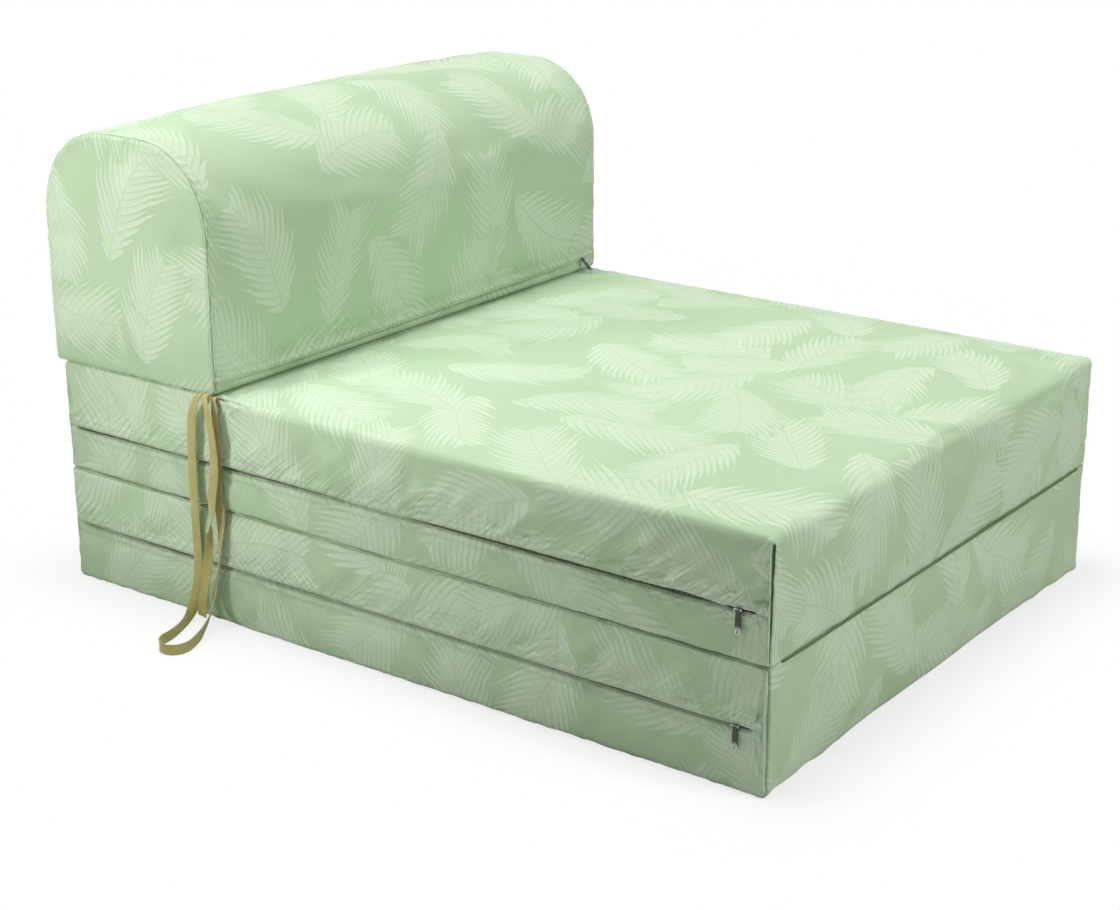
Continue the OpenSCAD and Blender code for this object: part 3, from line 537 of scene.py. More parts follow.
def blockCover(key, look):
    low, high, slit, r = look["low"], look["high"], look["slit"], look["radius"]
    corners = [(headY, low), (headY, high), (footY, high), (footY, low)]
    points, normals = outline(corners, look["radii"], coverSettings["step"], 5)
    y, z = points.T
    reach = (y - footY - r) / (backFront - footY - r)
    onTop = (normals[:, 1] > 0.99) & (reach > 0) & (reach < 1)
    level = np.clip((z - low - r) / (high - low - 2 * r), 0, 1)
    swell = np.where(onTop, look["crown"] * fall(2 * reach - 1), 0)
    swell += np.where(np.abs(normals[:, 0]) > 0.99, look["swell"] * fall(2 * level - 1), 0)
    zero = np.zeros(len(points))
    peak = look["sharp"] * 2 * np.abs(normals[:, 0] * normals[:, 1])
    atJoint = (y < footY + 6 * mm) & (np.abs(z - 130.2 * mm) < 6 * mm)
    peak = np.where(atJoint, 0.1 * peak, peak)
    facing = np.clip(normals[:, 1] * look["facing"], 0, 1)
    nearFoot = 0.3 * bell(np.maximum(y - footY - 3 * mm, 0), coverSettings["channelReach"])
    edge = coverSettings["edge"]

    def edgeAt(y):
        share = np.clip((190 * mm - y) / (60 * mm), 0, 1) if look["softTop"] else 0
        return edge + (coverSettings["softEdge"] - edge) * ease(share)

    upwards = np.clip(normals[:, 1], 0, 1) ** 2
    edges = edge + (edgeAt(y) - edge) * upwards
    uneven = 1 + 0.2 * softNoise(z / (22 * mm), z, 5)
    edges = np.where(normals[:, 0] < -0.9, look["footEdge"] * uneven, edges)
    unsewn = 60 * mm * np.clip(3 * (edges - 1.2 * edge) / coverSettings["softEdge"], 0, 1) * (upwards > 0)
    path = {"points": points, "normals": normals, "swell": swell, "lip": zero, "hem": zero + 1, "sharp": peak,
            "facing": facing, "nearFoot": nearFoot, "opening": np.zeros_like, "droop": np.zeros_like,
            "droopShare": zero, "edge": edges, "unsewn": unsewn}
    seamPoints = points + (peak - facing * coverSettings["channel"])[:, None] * normals
    slitFoot, slitHead = footY + 15 * mm, headY - 15 * mm

    # The slit runs along the panel; its sewn ends go on to the seams
    def slitPlace(start):
        above = start[:, 1] >= slit
        span = np.where(above, high - r - slit, slit - low - r)
        share = np.round(np.clip(np.abs(start[:, 1] - slit) / span, 0, 1) * 3) / 3
        end = edge + 0.6 * mm
        footEnd = look["footEdge"] * 1.2 + 0.6 * mm
        foot = footY + footEnd + share * (slitFoot - footY - footEnd)
        head = headY - end - share * (headY - end - slitHead)
        at = np.clip(start[:, 0], slitFoot, slitHead)
        at = np.where(start[:, 0] < footY + look["footEdge"] * 1.2 + 0.5 * mm, foot, at)
        at = np.where(start[:, 0] > headY - edge - 0.5 * mm, head, at)
        half = coverSettings["gap"] + sum(g * bell(at - c, w) for c, w, g in look["gapes"])
        half = half * np.clip(np.minimum(at - slitFoot, slitHead - at) / (8 * mm), 0, 1)
        return at, np.where(above, 1, -1) * half, above

    start = seamPoints - edges[:, None] * normals
    at, half, above = slitPlace(start)
    lipOut = np.where(above, coverSettings["lipOut"], -0.5 * mm)
    lipOut = lipOut * np.clip(np.abs(half) / coverSettings["gap"], 0, 1)

    def fromEnds(y):
        return fall((y - (footY + headY) / 2) / ((headY - footY) / 2))

    def bulge(start, share):
        return look["bulge"] * fromEnds(start[:, 0]) * fall(2 * np.clip(share, 0, 1) - 1)

    # The plain side's rows run from the seam to a line along its middle
    def onMiddle(start):
        return np.clip(start[:, 0], footY + 50 * mm, headY - 50 * mm)

    def plainBulge(start, share):
        return look["bulge"] * fromEnds(onMiddle(start)) * fall(1 - np.clip(share, 0, 1))

    a, b = look["shift"]
    first = np.nonzero(normals[:, 1] > 0.99)[0][0]
    over = {"high": high, "run": lengthAlong(points)[first] + y[first], "edgeAt": edgeAt}
    leftShift, rightShift = ((a, b), (a, b)) if look["softTop"] else ((a + 2.3, b + 0.6), (a + 4.1, b + 0.2))
    shared = {"e": edges, "unsewn": unsewn, "over": over if look["softTop"] else None}
    lips = np.column_stack([at, slit + half])
    middle = np.column_stack([onMiddle(start), zero + (low + high) / 2])
    piece = sew(key + "Cover", [
        wrapPatch(path, look["shift"]),
        sidePatch(-1, seamPoints, normals, lips, bulge, leftShift, lipOut, **shared),
        sidePatch(1, seamPoints, normals, middle, plainBulge, rightShift, **shared),
    ])
    x, y, z = readPoints(piece).T
    resting = (z < low + 1 * mm) | ((z > high - 1 * mm) & (y > backFront - 8 * mm))
    hold = np.where(resting, 1, clothHold(piece))
    if look["softTop"]:  # the foam's edge keeps the cloth's in line
        hold = np.maximum(hold, 1.2 * bell(np.hypot(halfWidth - np.abs(x), high - z), 24 * mm))
    replaced = [f"{key}_cover_{part}" for part in ("wrap", "plain_side", "zip_side_upper", "zip_side_lower")]
    return finishCover(piece, look, key, replaced, hold)


covers = [blockCover(key, look) for key, look in blockSettings.items()]
print("block covers made")


backSettings = {
    "front": backFront, "rear": 462.25 * mm, "low": 255.8 * mm, "high": 517.8 * mm,
    "frontRadius": 92 * mm, "rearRadius": 96 * mm, "footRadius": 9 * mm, "slit": 17 * mm,
    "swell": 3 * mm, "bulge": 4.5 * mm, "seed": 41, "shift": (7.13, 0.42), "hemAlongX": True,
    "folds": [], "slider": None, "openCorner": 0, "hemPucker": 0.5 * mm,
    "flatLow": 255 * mm, "flatHigh": 272 * mm,
    "overhang": 4.4 * mm, "lap": 0.5 * mm,  # the upper hem stands out past the lower one and laps over it
    "droop": 4 * mm,  # the hem hangs that much lower at the left end
    "pressure": 2.0, "slack": 0.01, "most": 3.5 * mm, "fill": 0.95,
}


def backrestCover(look):
    low, high, front, rear = (look[k] for k in ("low", "high", "front", "rear"))
    slit, hemRows = low + look["slit"], np.array(coverSettings["hemRows"])
    corners = [(rear, low), (rear, high), (front, high), (front, low)]
    radii = [5 * mm, look["rearRadius"], look["frontRadius"], look["footRadius"]]
    points, normals = outline(corners, radii, coverSettings["step"], 12)
    # The outline is opened at the zip, so that it runs from the lower lip round to the upper one
    cutAway = (normals[:-1, 0] < -0.99) & (points[:-1, 1] < slit + hemRows[-1] + 3 * mm)
    count, last = len(cutAway), np.nonzero(cutAway)[0][-1]
    order = (last + 1 + np.arange(count - cutAway.sum())) % count
    below = np.array([0, 1.2, 3.4, 5.8, 8]) * mm
    inside = np.array([[1.7, -8], [1.7, -2.5], [1.3, -0.5], [0.7, 0]]) * mm
    lowerLip = np.column_stack([front + 0 * below, slit - below])
    upperLip = np.column_stack([front + 0 * hemRows, slit + hemRows[::-1]])
    lipPoint = np.array([[front, slit]])
    outside = np.array([-1.0, 0.0])
    path = np.vstack([inside + lipPoint, lowerLip, points[order], upperLip, lipPoint,
            inside[::-1] * [1, -1] + lipPoint])
    ways = np.vstack([np.tile(outside, (9, 1)), normals[order], np.tile(outside, (len(hemRows) + 5, 1))])
    nearSlit = path[:, 1] - slit
    onFront = ways[:, 0] < -0.99
    lip = np.where(onFront, np.clip(1 - np.abs(nearSlit) / (16 * mm), 0, 1), 0)
    lip[:9] *= -1
    lip[9:9 + 3] *= np.where(path[9:12, 1] < slit, -1, 1)
    hem = np.where(onFront & (nearSlit > 0), nearSlit, 1.0)
    hem[-5:] = 0
    top = high - look["frontRadius"]
    level = np.clip((path[:, 1] - slit - 14 * mm) / (top - slit - 14 * mm), 0, 1)
    swell = look["swell"] * np.where(ways[:, 1] > 0.02, 1, level * (2 - level))
    swell = np.where(ways[:, 1] < -0.02, 0, swell)
    swell[-len(hemRows) - 5:-5] += coverSettings["hemStep"] * (hemRows[::-1] < 9.7 * mm)
    swell += np.where(onFront & (nearSlit > 0), look["overhang"] * np.exp(-nearSlit / (14 * mm)), 0)
    swell[-5:] = look["overhang"] * np.exp(-np.array([0, 0, 0.5, 2.5, 8]) / 14)
    swell[-5:] += np.array([0.9, 0.9, 0.8, 0.5, 0]) * mm
    swell[:4] = -1.6 * mm
    swell[4:9] = -0.8 * mm
    swell[9:13] = -0.3 * mm
    droopShare = np.where(onFront, bell(nearSlit, 20 * mm), 0)

    def opening(x):
        return -look["lap"] * np.clip((halfWidth - 15 * mm - np.abs(x)) / (8 * mm), 0, 1)

    def droop(x):
        share = np.clip((x + halfWidth - 10 * mm) / (2 * halfWidth - 60 * mm), 0, 1)
        return look["droop"] * (1 - ease(share))

    zero = 0 * hem
    shape = {"points": path, "normals": ways, "swell": swell, "lip": lip, "hem": hem, "opening": opening,
             "sharp": zero, "facing": zero, "nearFoot": zero, "droop": droop, "droopShare": droopShare,
             "edge": coverSettings["edge"] + zero, "unsewn": zero}
    closed, closedWays = path[4:-4], ways[4:-4]
    drooped = closed - np.column_stack([0 * closed[:, 0], look["droop"] * droopShare[4:-4]])
    edge = coverSettings["edge"]
    start = closed - edge * closedWays
    at = np.clip(start[:, 1], low + 95 * mm, high - 110 * mm)
    goal = np.column_stack([0 * at + (front + rear) / 2, at])

    def bulge(start, share):
        return look["bulge"] * fall(1 - np.clip(share, 0, 1))

    a, b = look["shift"]
    piece = sew("backrestCover", [
        wrapPatch(shape, look["shift"]),
        sidePatch(-1, drooped, closedWays, goal, bulge, (a + 1.7, b + 0.9)),
        sidePatch(1, closed, closedWays, goal, bulge, (a + 3.9, b + 0.4)),
    ])
    hold = np.where(readPoints(piece)[:, 2] < slit, 1, clothHold(piece))
    replaced = [f"backrest_cover_{part}" for part in ("wrap", "base", "left_end", "right_end")]
    return finishCover(piece, look, "backrest", replaced, hold)


covers.append(backrestCover(backSettings))
print("backrest cover made")


# Foam inside the covers
foamSettings = {
    "edge": 16 * mm, "clear": 4.5 * mm, "zipRoom": 12 * mm, "backZipRoom": 11 * mm,
    "frontRadius": 90 * mm, "rearRadius": 94 * mm,
}


def roundEdges(piece, radius, segments, chosen):
    bpy.ops.object.mode_set(mode="EDIT")
    bpy.ops.mesh.select_mode(type="EDGE")
    bpy.ops.mesh.select_all(action="DESELECT")
    bpy.ops.object.mode_set(mode="OBJECT")
    mesh = piece.data
    for edge in mesh.edges:
        a, b = (mesh.vertices[i].co for i in edge.vertices)
        edge.select = bool(chosen(a, b))
    bpy.ops.object.mode_set(mode="EDIT")
    bpy.ops.mesh.bevel(offset=radius, segments=segments, affect="EDGES", clamp_overlap=True)
    bpy.ops.object.mode_set(mode="OBJECT")


def foamBlock(body, lowest, highest):
    low, high = Vector(lowest), Vector(highest)
    deselectAll()
    bpy.ops.mesh.primitive_cube_add(size=1, location=(low + high) / 2, scale=high - low)
    piece = bpy.context.object
    piece.name = piece.data.name = body + "Foam"
    bpy.ops.object.transform_apply(location=True, rotation=False, scale=True)
    if body == "backrest":
        for y, radius in ((low.y, foamSettings["frontRadius"]), (high.y, foamSettings["rearRadius"])):
            roundEdges(piece, radius, 10, lambda a, b: min(a.z, b.z) > high.z - mm and abs(a.y - y) < mm
                       and abs(b.y - y) < mm)
        roundEdges(piece, 4 * mm, 2, lambda a, b: abs(a.x) > 0.3 and abs(a.x - b.x) < mm)
    else:
        roundEdges(piece, foamSettings["edge"], 3, lambda a, b: True)
    smooth(piece, 40)
    register(piece, body, "foam", body + "_foam")
    return piece


clear = foamSettings["clear"]
left, right = foamSettings["zipRoom"] - halfWidth, halfWidth - clear
foams = [foamBlock(key, (left, footY + clear, blockSettings[key]["low"] + clear),
        (right, headY - clear, blockSettings[key]["high"] - clear)) for key in ("base", "seat")]
foams.append(foamBlock("backrest", (clear - halfWidth, backFront + foamSettings["backZipRoom"],
        backSettings["low"] + clear),
        (right, backSettings["rear"] - clear, backSettings["high"] - clear)))
print("foam made")


# Hinge strips: folded cloth that holds one cushion to the next
hingeSettings = {"thickness": 0.4 * mm, "margin": 22 * mm, "step": 6 * mm, "wave": 0.12 * mm}


def bead(y, z, radius, start, turn, steps=7):
    angles = [math.radians(start + turn * i / steps) for i in range(steps + 1)]
    return [(y + radius * math.cos(a), z + radius * math.sin(a)) for a in angles]


hingeStrips = {
    "front_hinge_base_tape": ("base", [(-456.5, 129.3), (-459.5, 129.4), (-462.5, 129.35), (-464.4, 129.45)]
        + bead(-465.55, 130.2, 0.32, -10, -300)),
    "front_hinge_seat_tape": ("seat", [(-456.5, 131.1), (-459.5, 131.1), (-462.5, 131.1), (-464.6, 131.35),
        (-465.5, 131.75)]),
    "rear_hinge_seat_tape": ("seat", [(455.5, 254.7), (459.5, 254.7), (463.0, 254.7), (464.6, 254.85)]
        + bead(465.55, 255.6, 0.62, 190, 300)),
    "rear_hinge_backrest_tape": ("backrest", [(462.85, 265.4), (462.85, 261), (462.9, 258), (463.5, 256.7),
        (464.6, 256.9), (465.4, 257.15)]),
}


def hingeStrip(node, body, profile):
    profile = np.array(profile) * mm
    x = np.arange(hingeSettings["margin"] - halfWidth, halfWidth - hingeSettings["margin"] + mm,
                  hingeSettings["step"])[:, None]
    seed = len(node) + int(profile[0, 1] * 1000)
    wave = hingeSettings["wave"] * softNoise(x / (18 * mm) + 0 * profile[None, :, 0], x * 0 + 0.3, seed)
    yz = profile[None] + wave[..., None] * 0.7
    ends = np.clip((halfWidth - hingeSettings["margin"] - np.abs(x)) / (35 * mm), 0.1, 1)[..., None]
    yz[:, 4:] = profile[3] + (yz[:, 4:] - profile[3]) * ends  # the fold sinks into the joint at its ends
    xs = x + 0 * yz[..., 0]
    name = node.replace("_", "") + "Strip"
    piece = gridPiece(name, np.dstack([xs, yz]), xs + 9.3, lengthAlong(profile) + 0.7)
    applyModifier(piece, "SOLIDIFY", thickness=hingeSettings["thickness"], offset=0)
    smooth(piece, 50)
    register(piece, body, "hinge_tape", node)
    return piece


strips = [hingeStrip(node, body, profile) for node, (body, profile) in hingeStrips.items()]
print("hinge strips made")


# Materials
def hexColour(text):
    values = [int(text[i:i + 2], 16) / 255 for i in (1, 3, 5)]
    return [v / 12.92 if v <= 0.04045 else ((v + 0.055) / 1.055) ** 2.4 for v in values] + [1]


# Adds a node, such as "TexNoise" or "Math.ADD", and gives its output; inputs are sockets or values.
# MapRange takes a value, from low, from high, to low and to high.
def addNode(tree, kind, inputs=(), out=0, **settings):
    kind, _, operation = kind.partition(".")
    node = tree.nodes.new("ShaderNode" + kind)
    if operation:
        node.operation = operation
    for key, value in settings.items():
        setattr(node, key, value)
    for key, value in (inputs.items() if isinstance(inputs, dict) else enumerate(inputs)):
        if isinstance(value, bpy.types.NodeSocket):
            tree.links.new(value, node.inputs[key])
        elif value is not None:
            node.inputs[key].default_value = value
    return node if out is None else node.outputs[out]


def newMaterial(name, **constants):
    material = bpy.data.materials.new(name)
    material.use_nodes = True
    shader = material.node_tree.nodes["Principled BSDF"]
    for key, value in constants.items():
        shader.inputs[key.replace("_", " ")].default_value = value
    return material, partial(addNode, material.node_tree)


# Gives a material its colour and its relief; normal holds a relief that lies under it
def finishMaterial(material, colour, strength, depth, height, normal=None):
    tree = material.node_tree
    shader = tree.nodes["Principled BSDF"]
    relief = {"Strength": strength, "Distance": depth, "Height": height, "Normal": normal}
    tree.links.new(colour, shader.inputs["Base Color"])
    tree.links.new(addNode(tree, "Bump", relief), shader.inputs["Normal"])
    return material


leafKinds = [
    # two sets of leaves, one between the other's: half length, half width, leaflet pitch in mm
    {"half": 82 * mm, "wide": 68 * mm, "pitch": 10.4 * mm, "sweep": 0.75, "curl": 6.0, "tip": 0.62,
     "shift": (0.0, 0.0), "turn": 0.0},
    {"half": 76 * mm, "wide": 60 * mm, "pitch": 9.2 * mm, "sweep": 0.85, "curl": 4.0, "tip": 0.5,
     "shift": (0.5, 0.5), "turn": 2.4},
]
leafShape = {  # what both sets share
    "turns": 12.566, "sizes": (1.12, 0.92), "bend": 3.2, "lean": 3.5,
    "halfOffset": 0.21,  # one half's leaflets sit between the other's
    "reachOfTip": 0.78, "growth": 0.42, "spread": (1.15, 1.65),
    "ribGap": (0.2 * mm, 1.3 * mm, 0.3),  # from, to and how pale
}
# The pale stitch colour also paints a highlight along each hem's folded edge
clothLook = {
    # The seam colour is a painted shade along each seam's crease, with its needle holes
    "ground": "#b9d1af", "leaf": "#d5e3cf", "seam": "#86a57d", "stitchAndHighlight": "#d2e2cb", "hole": "#7d9873",
    "spacing": 160 * mm,  # of one set's leaves
    "thread": 1.3 * mm,  # drawn coarser than the real 0.4 mm thread, so that it shows
    "stitchRows": (8.2 * mm, 9.6 * mm), "stitchPitch": 3.4 * mm,
}


# One set of leaves: where its leaflets are, and where a leaf lies at all
def leafSet(add, uv, kind):
    spacing, shape = clothLook["spacing"], leafShape
    shifted = add("VectorMath.ADD", (uv, [s * spacing for s in kind["shift"]] + [0]))
    cells = add("TexVoronoi", {"Vector": shifted, "Scale": 1 / spacing, "Randomness": 0.3},
                    None, voronoi_dimensions="2D", feature="F1")
    local = add("VectorMath.SUBTRACT", (shifted, cells.outputs["Position"]))
    pick, size, lean = add("SeparateColor", (cells.outputs["Color"],), None).outputs
    angle = add("Math.MULTIPLY_ADD", (pick, shape["turns"], kind["turn"]))
    turned = add("VectorRotate", {"Vector": local, "Angle": angle}, rotation_type="Z_AXIS")
    size = add("MapRange", (size, 0, 1, *shape["sizes"]))
    scaled = add("VectorMath.SCALE", {0: turned, "Scale": size})
    x, y = add("SeparateXYZ", (scaled,), None).outputs[:2]
    # The midrib bends one way or the other, and each half has leaflets of its own
    bend = add("MapRange", (lean, 0, 1, -shape["bend"], shape["bend"]))
    squared = add("Math.POWER", (x, 2.0))
    y = add("Math.MULTIPLY_ADD", (squared, bend, y))
    reach = add("Math.ABSOLUTE", (y,))
    half = add("Math.SIGN", (y,))
    sweep = add("Math.MULTIPLY_ADD", (x, shape["lean"], kind["sweep"]))
    sweep = add("Math.MULTIPLY_ADD", (reach, kind["curl"], sweep))
    back = add("Math.MULTIPLY", (reach, sweep))
    root = add("Math.SUBTRACT", (x, back))
    share = add("MapRange", (root, -kind["half"], kind["half"] * shape["reachOfTip"]))
    offset = add("Math.MULTIPLY", (half, shape["halfOffset"]))
    stripe = add("Math.MULTIPLY_ADD", (root, 1 / kind["pitch"], offset))
    number = add("Math.FLOOR", (stripe,))
    number = add("Math.MULTIPLY_ADD", (half, 31.0, number))
    leaf = add("Math.MULTIPLY", (pick, 97.0))
    luck = add("TexWhiteNoise", {"Vector": add("CombineXYZ", (number, leaf))}, 0,
                   noise_dimensions="2D")
    # Leaflets grow long soon above the stalk and shorten towards the tip
    growth = add("Math.POWER", (share, shape["growth"]))
    left = add("Math.SUBTRACT", (1.0, share))
    decline = add("Math.POWER", (left, kind["tip"]))
    limit = add("Math.MULTIPLY", (growth, decline))
    spread = add("MapRange", (luck, 0, 1, *(kind["wide"] * factor for factor in shape["spread"])))
    limit = add("Math.MULTIPLY", (limit, spread))
    limit = add("Math.MAXIMUM", (limit, 0.01 * mm))
    ratio = add("Math.DIVIDE", (reach, limit))
    along = add("Math.FRACT", (stripe,))
    off = add("Math.SUBTRACT", (along, 0.5))
    off = add("Math.ABSOLUTE", (off,))
    # A leaflet stays broad for most of its length and is pointed at its end
    pointed = add("Math.POWER", (ratio, 3.0))
    blade = add("Math.MULTIPLY_ADD", (pointed, -0.46, 0.485))
    blade = add("Math.SUBTRACT", (blade, off))
    blade = add("MapRange", (blade, -0.02, 0.085))
    ribGap = add("MapRange", (reach, *shape["ribGap"]))
    inside = add("Math.LESS_THAN", (ratio, 1.0))
    mask = add("Math.MULTIPLY", (blade, ribGap))
    mask = add("Math.MULTIPLY", (mask, inside))
    # Each leaflet is paler along one side, and leaflets and leaves are printed stronger or weaker
    for value, low, high, least in ((along, 0.1, 0.9, 0.74), (luck, 1.0, 0.0, 0.8), (lean, 1.0, 0.0, 0.78)):
        tone = add("MapRange", (value, low, high, 1.0, least))
        mask = add("Math.MULTIPLY", (mask, tone))
    covered = add("MapRange", (ratio, 1.0, 0.9))
    return mask, covered


# Plain-woven cotton, pigment printed: matt, with a faint thread relief and pale leaves on green
def printedCotton():
    material, add = newMaterial("printedCotton", Roughness=0.88, Sheen_Weight=0.08,
            Sheen_Roughness=0.5, Specular_IOR_Level=0.2)
    uv = add("UVMap", (), uv_map="cloth")
    bent = uv
    for scale, amount in ((7, 22 * mm), (55, 3.2 * mm)):  # bends the leaves, then makes their edges uneven
        drift = add("TexNoise", {"Vector": uv, "Scale": scale, "Detail": 0}, 1)
        drift = add("VectorMath.SCALE", {0: drift, "Scale": amount})
        bent = add("VectorMath.ADD", (bent, drift))
    slanted = add("VectorRotate", {"Vector": bent, "Angle": 0.38}, rotation_type="Z_AXIS")
    lower = leafSet(add, slanted, leafKinds[0])[0]
    upper, covered = leafSet(add, slanted, leafKinds[1])
    uncovered = add("Math.MULTIPLY_ADD", (covered, -0.8, 1.0))
    lower = add("Math.MULTIPLY", (lower, uncovered))
    leaf = add("Math.MAXIMUM", (lower, upper))
    streak = add("TexNoise", {"Vector": uv, "Scale": 120, "Detail": 3})
    streak = add("MapRange", (streak, 0.3, 0.7, 0.78))
    leaf = add("Math.MULTIPLY", (leaf, streak))
    tone = add("TexNoise", {"Vector": uv, "Scale": 5, "Detail": 2})
    tone = add("MapRange", (tone, 0.3, 0.7, 0.95, 1.04))
    ground = add("VectorMath.SCALE", {0: hexColour(clothLook["ground"])[:3], "Scale": tone})
    colour = add("Mix", {0: leaf, 6: ground, 7: hexColour(clothLook["leaf"])}, 2, data_type="RGBA")
    # Two rows of stitches along each hem, needle holes and a painted shade along each seam, and a painted
    # highlight along each hem's folded edge
    hem, seam, run, lane = (add("Attribute", (), 2, attribute_name=key)
            for key in ("hem", "seam", "along", "lane"))
    flat = add("SeparateXYZ", (uv,), None)
    beat = add("Math.MULTIPLY", (lane, 1 / clothLook["stitchPitch"]))
    beat = add("Math.FRACT", (beat,))
    dash = add("Math.LESS_THAN", (beat, 0.62))
    rows = []
    for place in clothLook["stitchRows"]:
        away = add("Math.SUBTRACT", (hem, place))
        away = add("Math.ABSOLUTE", (away,))
        rows.append(add("MapRange", (away, 0.6 * mm, 0.25 * mm)))
    sewnRows = add("Math.MAXIMUM", rows)
    stitches = add("Math.MULTIPLY", (sewnRows, dash))
    holes = add("Math.SUBTRACT", (sewnRows, stitches))
    # A painted shade along each seam's crease, together with its needle holes
    seamHolesAndShade = add("MapRange", (seam, 1.0 * mm, 0.3 * mm))
    # A painted highlight along each hem's folded edge, in the stitches' pale colour
    paintedHemHighlight = add("MapRange", (hem, 2.6 * mm, 0.6 * mm))
    for share, strength, paint in ((stitches, 0.12, "stitchAndHighlight"), (holes, 0.45, "hole"),
            (seamHolesAndShade, 0.55, "seam"), (paintedHemHighlight, 0.45, "stitchAndHighlight")):
        share = add("Math.MULTIPLY", (share, strength))
        colour = add("Mix", {0: share, 6: colour, 7: hexColour(clothLook[paint])}, 2, data_type="RGBA")
    # Fine puckers beside the seams and hems, then the threads
    gathers = []
    slanting = add("Math.MULTIPLY_ADD", (hem, 1.1, lane))
    for across, pitch, down, length, most in ((run, 7 * mm, seam, 26 * mm, 1.0),
            (slanting, 6 * mm, hem, 45 * mm, 1.7)):
        across = add("Math.MULTIPLY", (across, 1 / pitch))
        slow = add("Math.MULTIPLY", (down, 1 / (42 * mm)))
        lumps = add("TexNoise", {"Vector": add("CombineXYZ", (across, slow)), "Scale": 1, "Detail": 1})
        fade = add("MapRange", (down, 2 * mm, length, most, 0.0))
        lumps = add("Math.MULTIPLY", (lumps, fade))
        fade = add("MapRange", (down, 0.5 * mm, 3.5 * mm))
        gathers.append(add("Math.MULTIPLY", (lumps, fade)))
    gathers = add("Math.ADD", gathers)
    puckers = add("Bump", {"Strength": 0.9, "Distance": 2.6 * mm, "Height": gathers})
    threads = []
    for axis in (0, 1):
        wave = add("Math.MULTIPLY", (flat.outputs[axis], 2 * math.pi / clothLook["thread"]))
        threads.append(add("Math.SINE", (wave,)))
    weave = add("Math.MULTIPLY", threads)
    height = add("Math.MULTIPLY_ADD", (stitches, 1.5, weave))
    return finishMaterial(material, colour, 0.12, 0.25 * mm, height, puckers)


# Woven cloth of one colour, with fine ribs across the given way of its uv
def ribbedCloth(name, colours, lumps, way, pitch, bump, **constants):
    material, add = newMaterial(name, **constants)
    uv = add("UVMap", (), uv_map="cloth")
    wave = add("Math.MULTIPLY", (add("VectorMath.DOT_PRODUCT", (uv, way), 1), 2 * math.pi / pitch))
    tone = add("TexNoise", {"Vector": uv, "Scale": lumps, "Detail": 2})
    colour = add("Mix", {0: tone, 6: hexColour(colours[0]), 7: hexColour(colours[1])}, 2, data_type="RGBA")
    return finishMaterial(material, colour, *bump, add("Math.SINE", (wave,)))


# A finish whose colour varies a little, in lumps of a given size
def plainFinish(name, colours, scale, depth, **constants):
    material, add = newMaterial(name, **constants)
    lumps = add("TexNoise", {"Vector": add("TexCoord", (), 3), "Scale": 1 / scale, "Detail": 3})
    colour = add("Mix", {0: lumps, 6: hexColour(colours[0]), 7: hexColour(colours[1])}, 2, data_type="RGBA")
    return finishMaterial(material, colour, 0.4, depth, lumps)


# Cast zinc pull: dark nickel plating, paler towards its lower end
def pullFinish(name, low, high):
    material, add = newMaterial("nickelPull" + name, Roughness=0.36, Metallic=1.0)
    place = add("TexCoord", (), 3)
    height = add("SeparateXYZ", (place,), None).outputs[2]
    paleEndFrom, paleEndTo = (low.z + (high.z - low.z) * share for share in (0.34, 0.16))
    paleEnd = add("MapRange", (height, paleEndFrom, paleEndTo))
    scratches = add("TexNoise", {"Vector": place, "Scale": 1 / (1.2 * mm), "Detail": 3})
    paleEnd = add("Math.MULTIPLY", (add("Math.MULTIPLY_ADD", (paleEnd, scratches, 0.04)), 1.6))
    colour = add("Mix", {0: paleEnd, 6: hexColour("#43473e"), 7: hexColour("#d8dbd5")}, 2, data_type="RGBA")
    return finishMaterial(material, colour, 0.3, 0.02 * mm, scratches)


cotton = printedCotton()
# Cotton twill tape of the hinges: matt, with slanting ribs; its green is darker than the covers', partly as
# painted shade that makes the joints read as dark lines
hingeTwill = ribbedCloth("cottonTwillTape", ("#7b9270", "#90a685"), 90, (1, 1, 0), 1.2 * mm, (0.4, 0.2 * mm),
        Roughness=0.9, Specular_IOR_Level=0.15)
# Woven polyester ribbon: khaki, with a soft sheen and fine ribs across it
ribbonWeave = ribbedCloth("wovenRibbon", ("#a4985a", "#c5b97a"), 60, (1, 0, 0), 1.1 * mm, (0.3, 0.15 * mm),
        Roughness=0.62, Sheen_Weight=0.2, Specular_IOR_Level=0.35)
# Open-cell polyurethane foam, cut from a block: cream and quite matt, with pores of about 2 mm
foam = plainFinish("openCellFoam", ("#e9e0c4", "#f3ecd8"), 2 * mm, 0.4 * mm, Roughness=0.95)
# Woven polyester zip tape: olive and matt, with its threads in lumps of about a millimetre
tapeCloth = plainFinish("wovenZipTape", ("#9aa277", "#aeb58b"), 1.2 * mm, 0.1 * mm, Roughness=0.8)
# Moulded nylon teeth: the tape's olive, a little paler and smoother
nylon = plainFinish("mouldedNylon", ("#8b956e", "#a0aa83"), 3 * mm, 0.02 * mm, Roughness=0.45)
# Zinc, die-cast and plated: grey metal with the small waves of the casting
zinc = plainFinish("platedZinc", ("#8c8f8d", "#b4b6b3"), 1.5 * mm, 0.02 * mm, Roughness=0.34, Metallic=1.0)


def dress(piece, material):
    piece.data.materials.clear()
    piece.data.materials.append(material)


for pieces, material in ((covers, cotton), (strips, hingeTwill), (foams, foam), (ribbons, ribbonWeave)):
    for piece in pieces:
        dress(piece, material)
for name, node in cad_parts.items():
    if "zip_tape" in name:
        dress(node, tapeCloth)
    elif "teeth" in name:
        dress(node, nylon)
    elif "zip_pull" in name:
        dress(node, pullFinish(name.split("_")[0].capitalize(), *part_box(name)))
    elif "zip_s" in name:
        dress(node, zinc)
print("materials made")


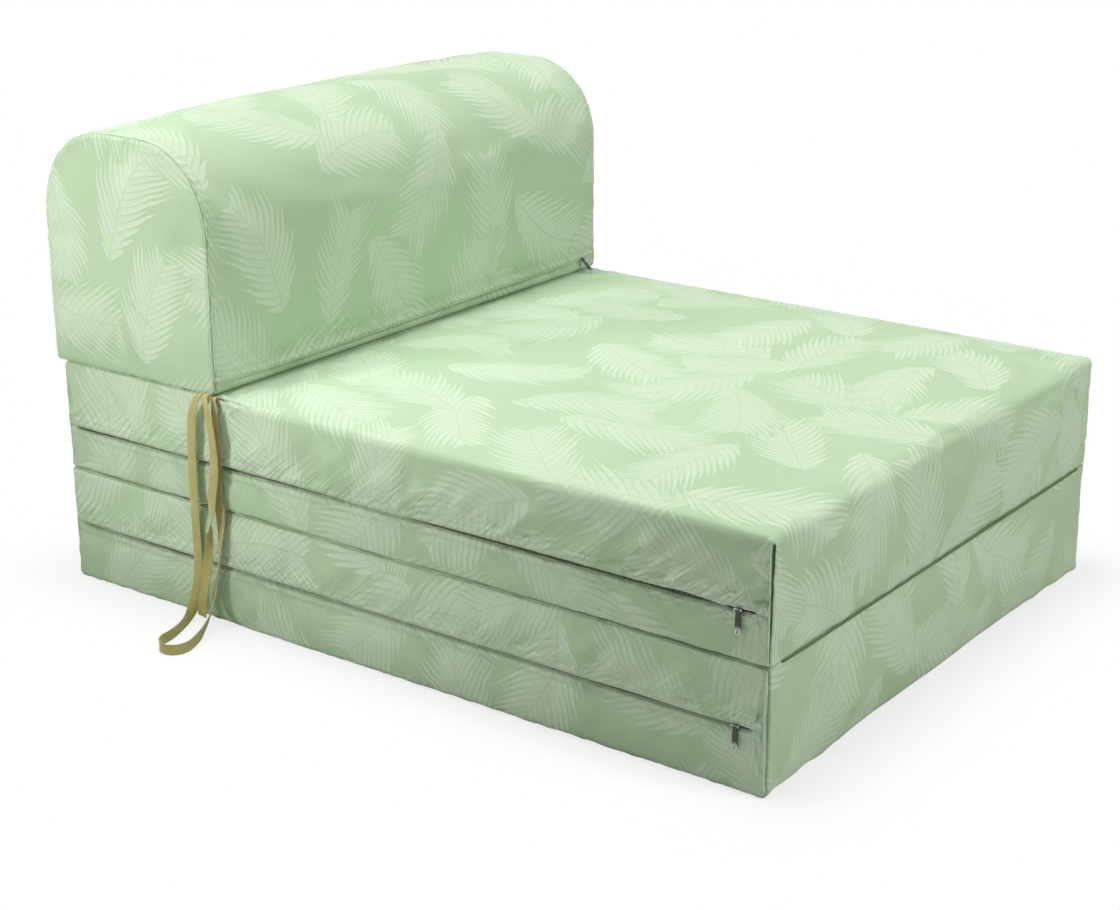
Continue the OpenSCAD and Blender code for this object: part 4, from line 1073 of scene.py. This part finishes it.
# Floor, lamps and world
stageSettings = {
    "lamps": [
        # name, place, aim, size, spread in degrees, power, colour
        ("topSoftbox", (-0.4, 0.5, 3.3), (0, 0, 0.2), 2.0, 180, 75, (1, 1, 1)),
        ("frontFill", (0.3, -2.8, 2.5), (0, 0, 0.2), 1.4, 180, 46, (0.98, 1, 0.94)),
        ("leftSpot", (-1.75, 1.0, 0.75), (-0.34, 0.26, 0.42), 0.4, 38, 0.95, (0.98, 1, 0.93)),
    ],
    "ambient": 0.22, "ambientColour": (0.97, 1, 0.92, 1),
    "footprint": (0.34, 0.46, 0),  # half of the floor that the object covers
    "nearWhite": 0.7,  # share of plain white that the camera sees in the floor by the footprint
    "whiteBy": 0.14,  # how far off the floor is all white
}


def addFloor():
    deselectAll()
    bpy.ops.mesh.primitive_plane_add(size=40, location=(0, 0, -0.2 * mm))
    floor = bpy.context.object
    floor.name = "floor"
    material, add = newMaterial("paleFloor", Roughness=0.9, Specular_IOR_Level=0.1)
    tree = material.node_tree
    shader = tree.nodes["Principled BSDF"]
    seen = add("LightPath", (), None).outputs["Is Camera Ray"]
    paint = add("Mix", {0: seen, 6: hexColour("#cfcfcf"), 7: hexColour("#f6f6f6")}, 2, data_type="RGBA")
    tree.links.new(paint, shader.inputs["Base Color"])
    away = add("VectorMath.ABSOLUTE", (add("TexCoord", (), 3),))
    away = add("VectorMath.SUBTRACT", (away, stageSettings["footprint"]))
    away = add("VectorMath.LENGTH", (add("VectorMath.MAXIMUM", (away, (0, 0, 0))),), 1)
    share = add("MapRange", (away, 0, stageSettings["whiteBy"], stageSettings["nearWhite"]),
                interpolation_type="SMOOTHSTEP")
    share = add("Math.MULTIPLY", (share, seen))
    mixed = add("MixShader", (share, shader.outputs[0], add("Emission", {"Strength": 1.0})))
    tree.links.new(mixed, tree.nodes["Material Output"].inputs["Surface"])
    dress(floor, material)


def addLamp(name, place, aim, size, spread, power, colour):
    bpy.ops.object.light_add(type="AREA", location=place)
    lamp = bpy.context.object
    lamp.name = name
    lamp.data.shape = "DISK"
    lamp.data.size = size
    lamp.data.spread = math.radians(spread)
    lamp.data.energy = power
    lamp.data.color = colour
    lamp.rotation_euler = (Vector(aim) - Vector(place)).to_track_quat("-Z", "Y").to_euler()


def addWorld():
    world = bpy.data.worlds.new("studio")
    bpy.context.scene.world = world
    world.use_nodes = True
    tree = world.node_tree
    tree.nodes.clear()
    add = partial(addNode, tree)
    path = add("LightPath", (), None)
    seen = add("Math.MAXIMUM", (path.outputs["Is Camera Ray"], path.outputs["Is Glossy Ray"]))
    seen = add("Math.MAXIMUM", (seen, path.outputs["Is Transmission Ray"]))
    strength = add("MapRange", (seen, 0, 1, stageSettings["ambient"], 1.0))
    ambient = add("Background", {"Strength": strength}, None)
    shade = add("Mix", {0: seen, 6: stageSettings["ambientColour"], 7: (1, 1, 1, 1)}, 2, data_type="RGBA")
    tree.links.new(shade, ambient.inputs[0])
    add("OutputWorld", (ambient.outputs[0],), None)


addFloor()
for lamp in stageSettings["lamps"]:
    addLamp(*lamp)
addWorld()
bpy.context.scene.view_settings.view_transform = "Standard"
print("stage set")
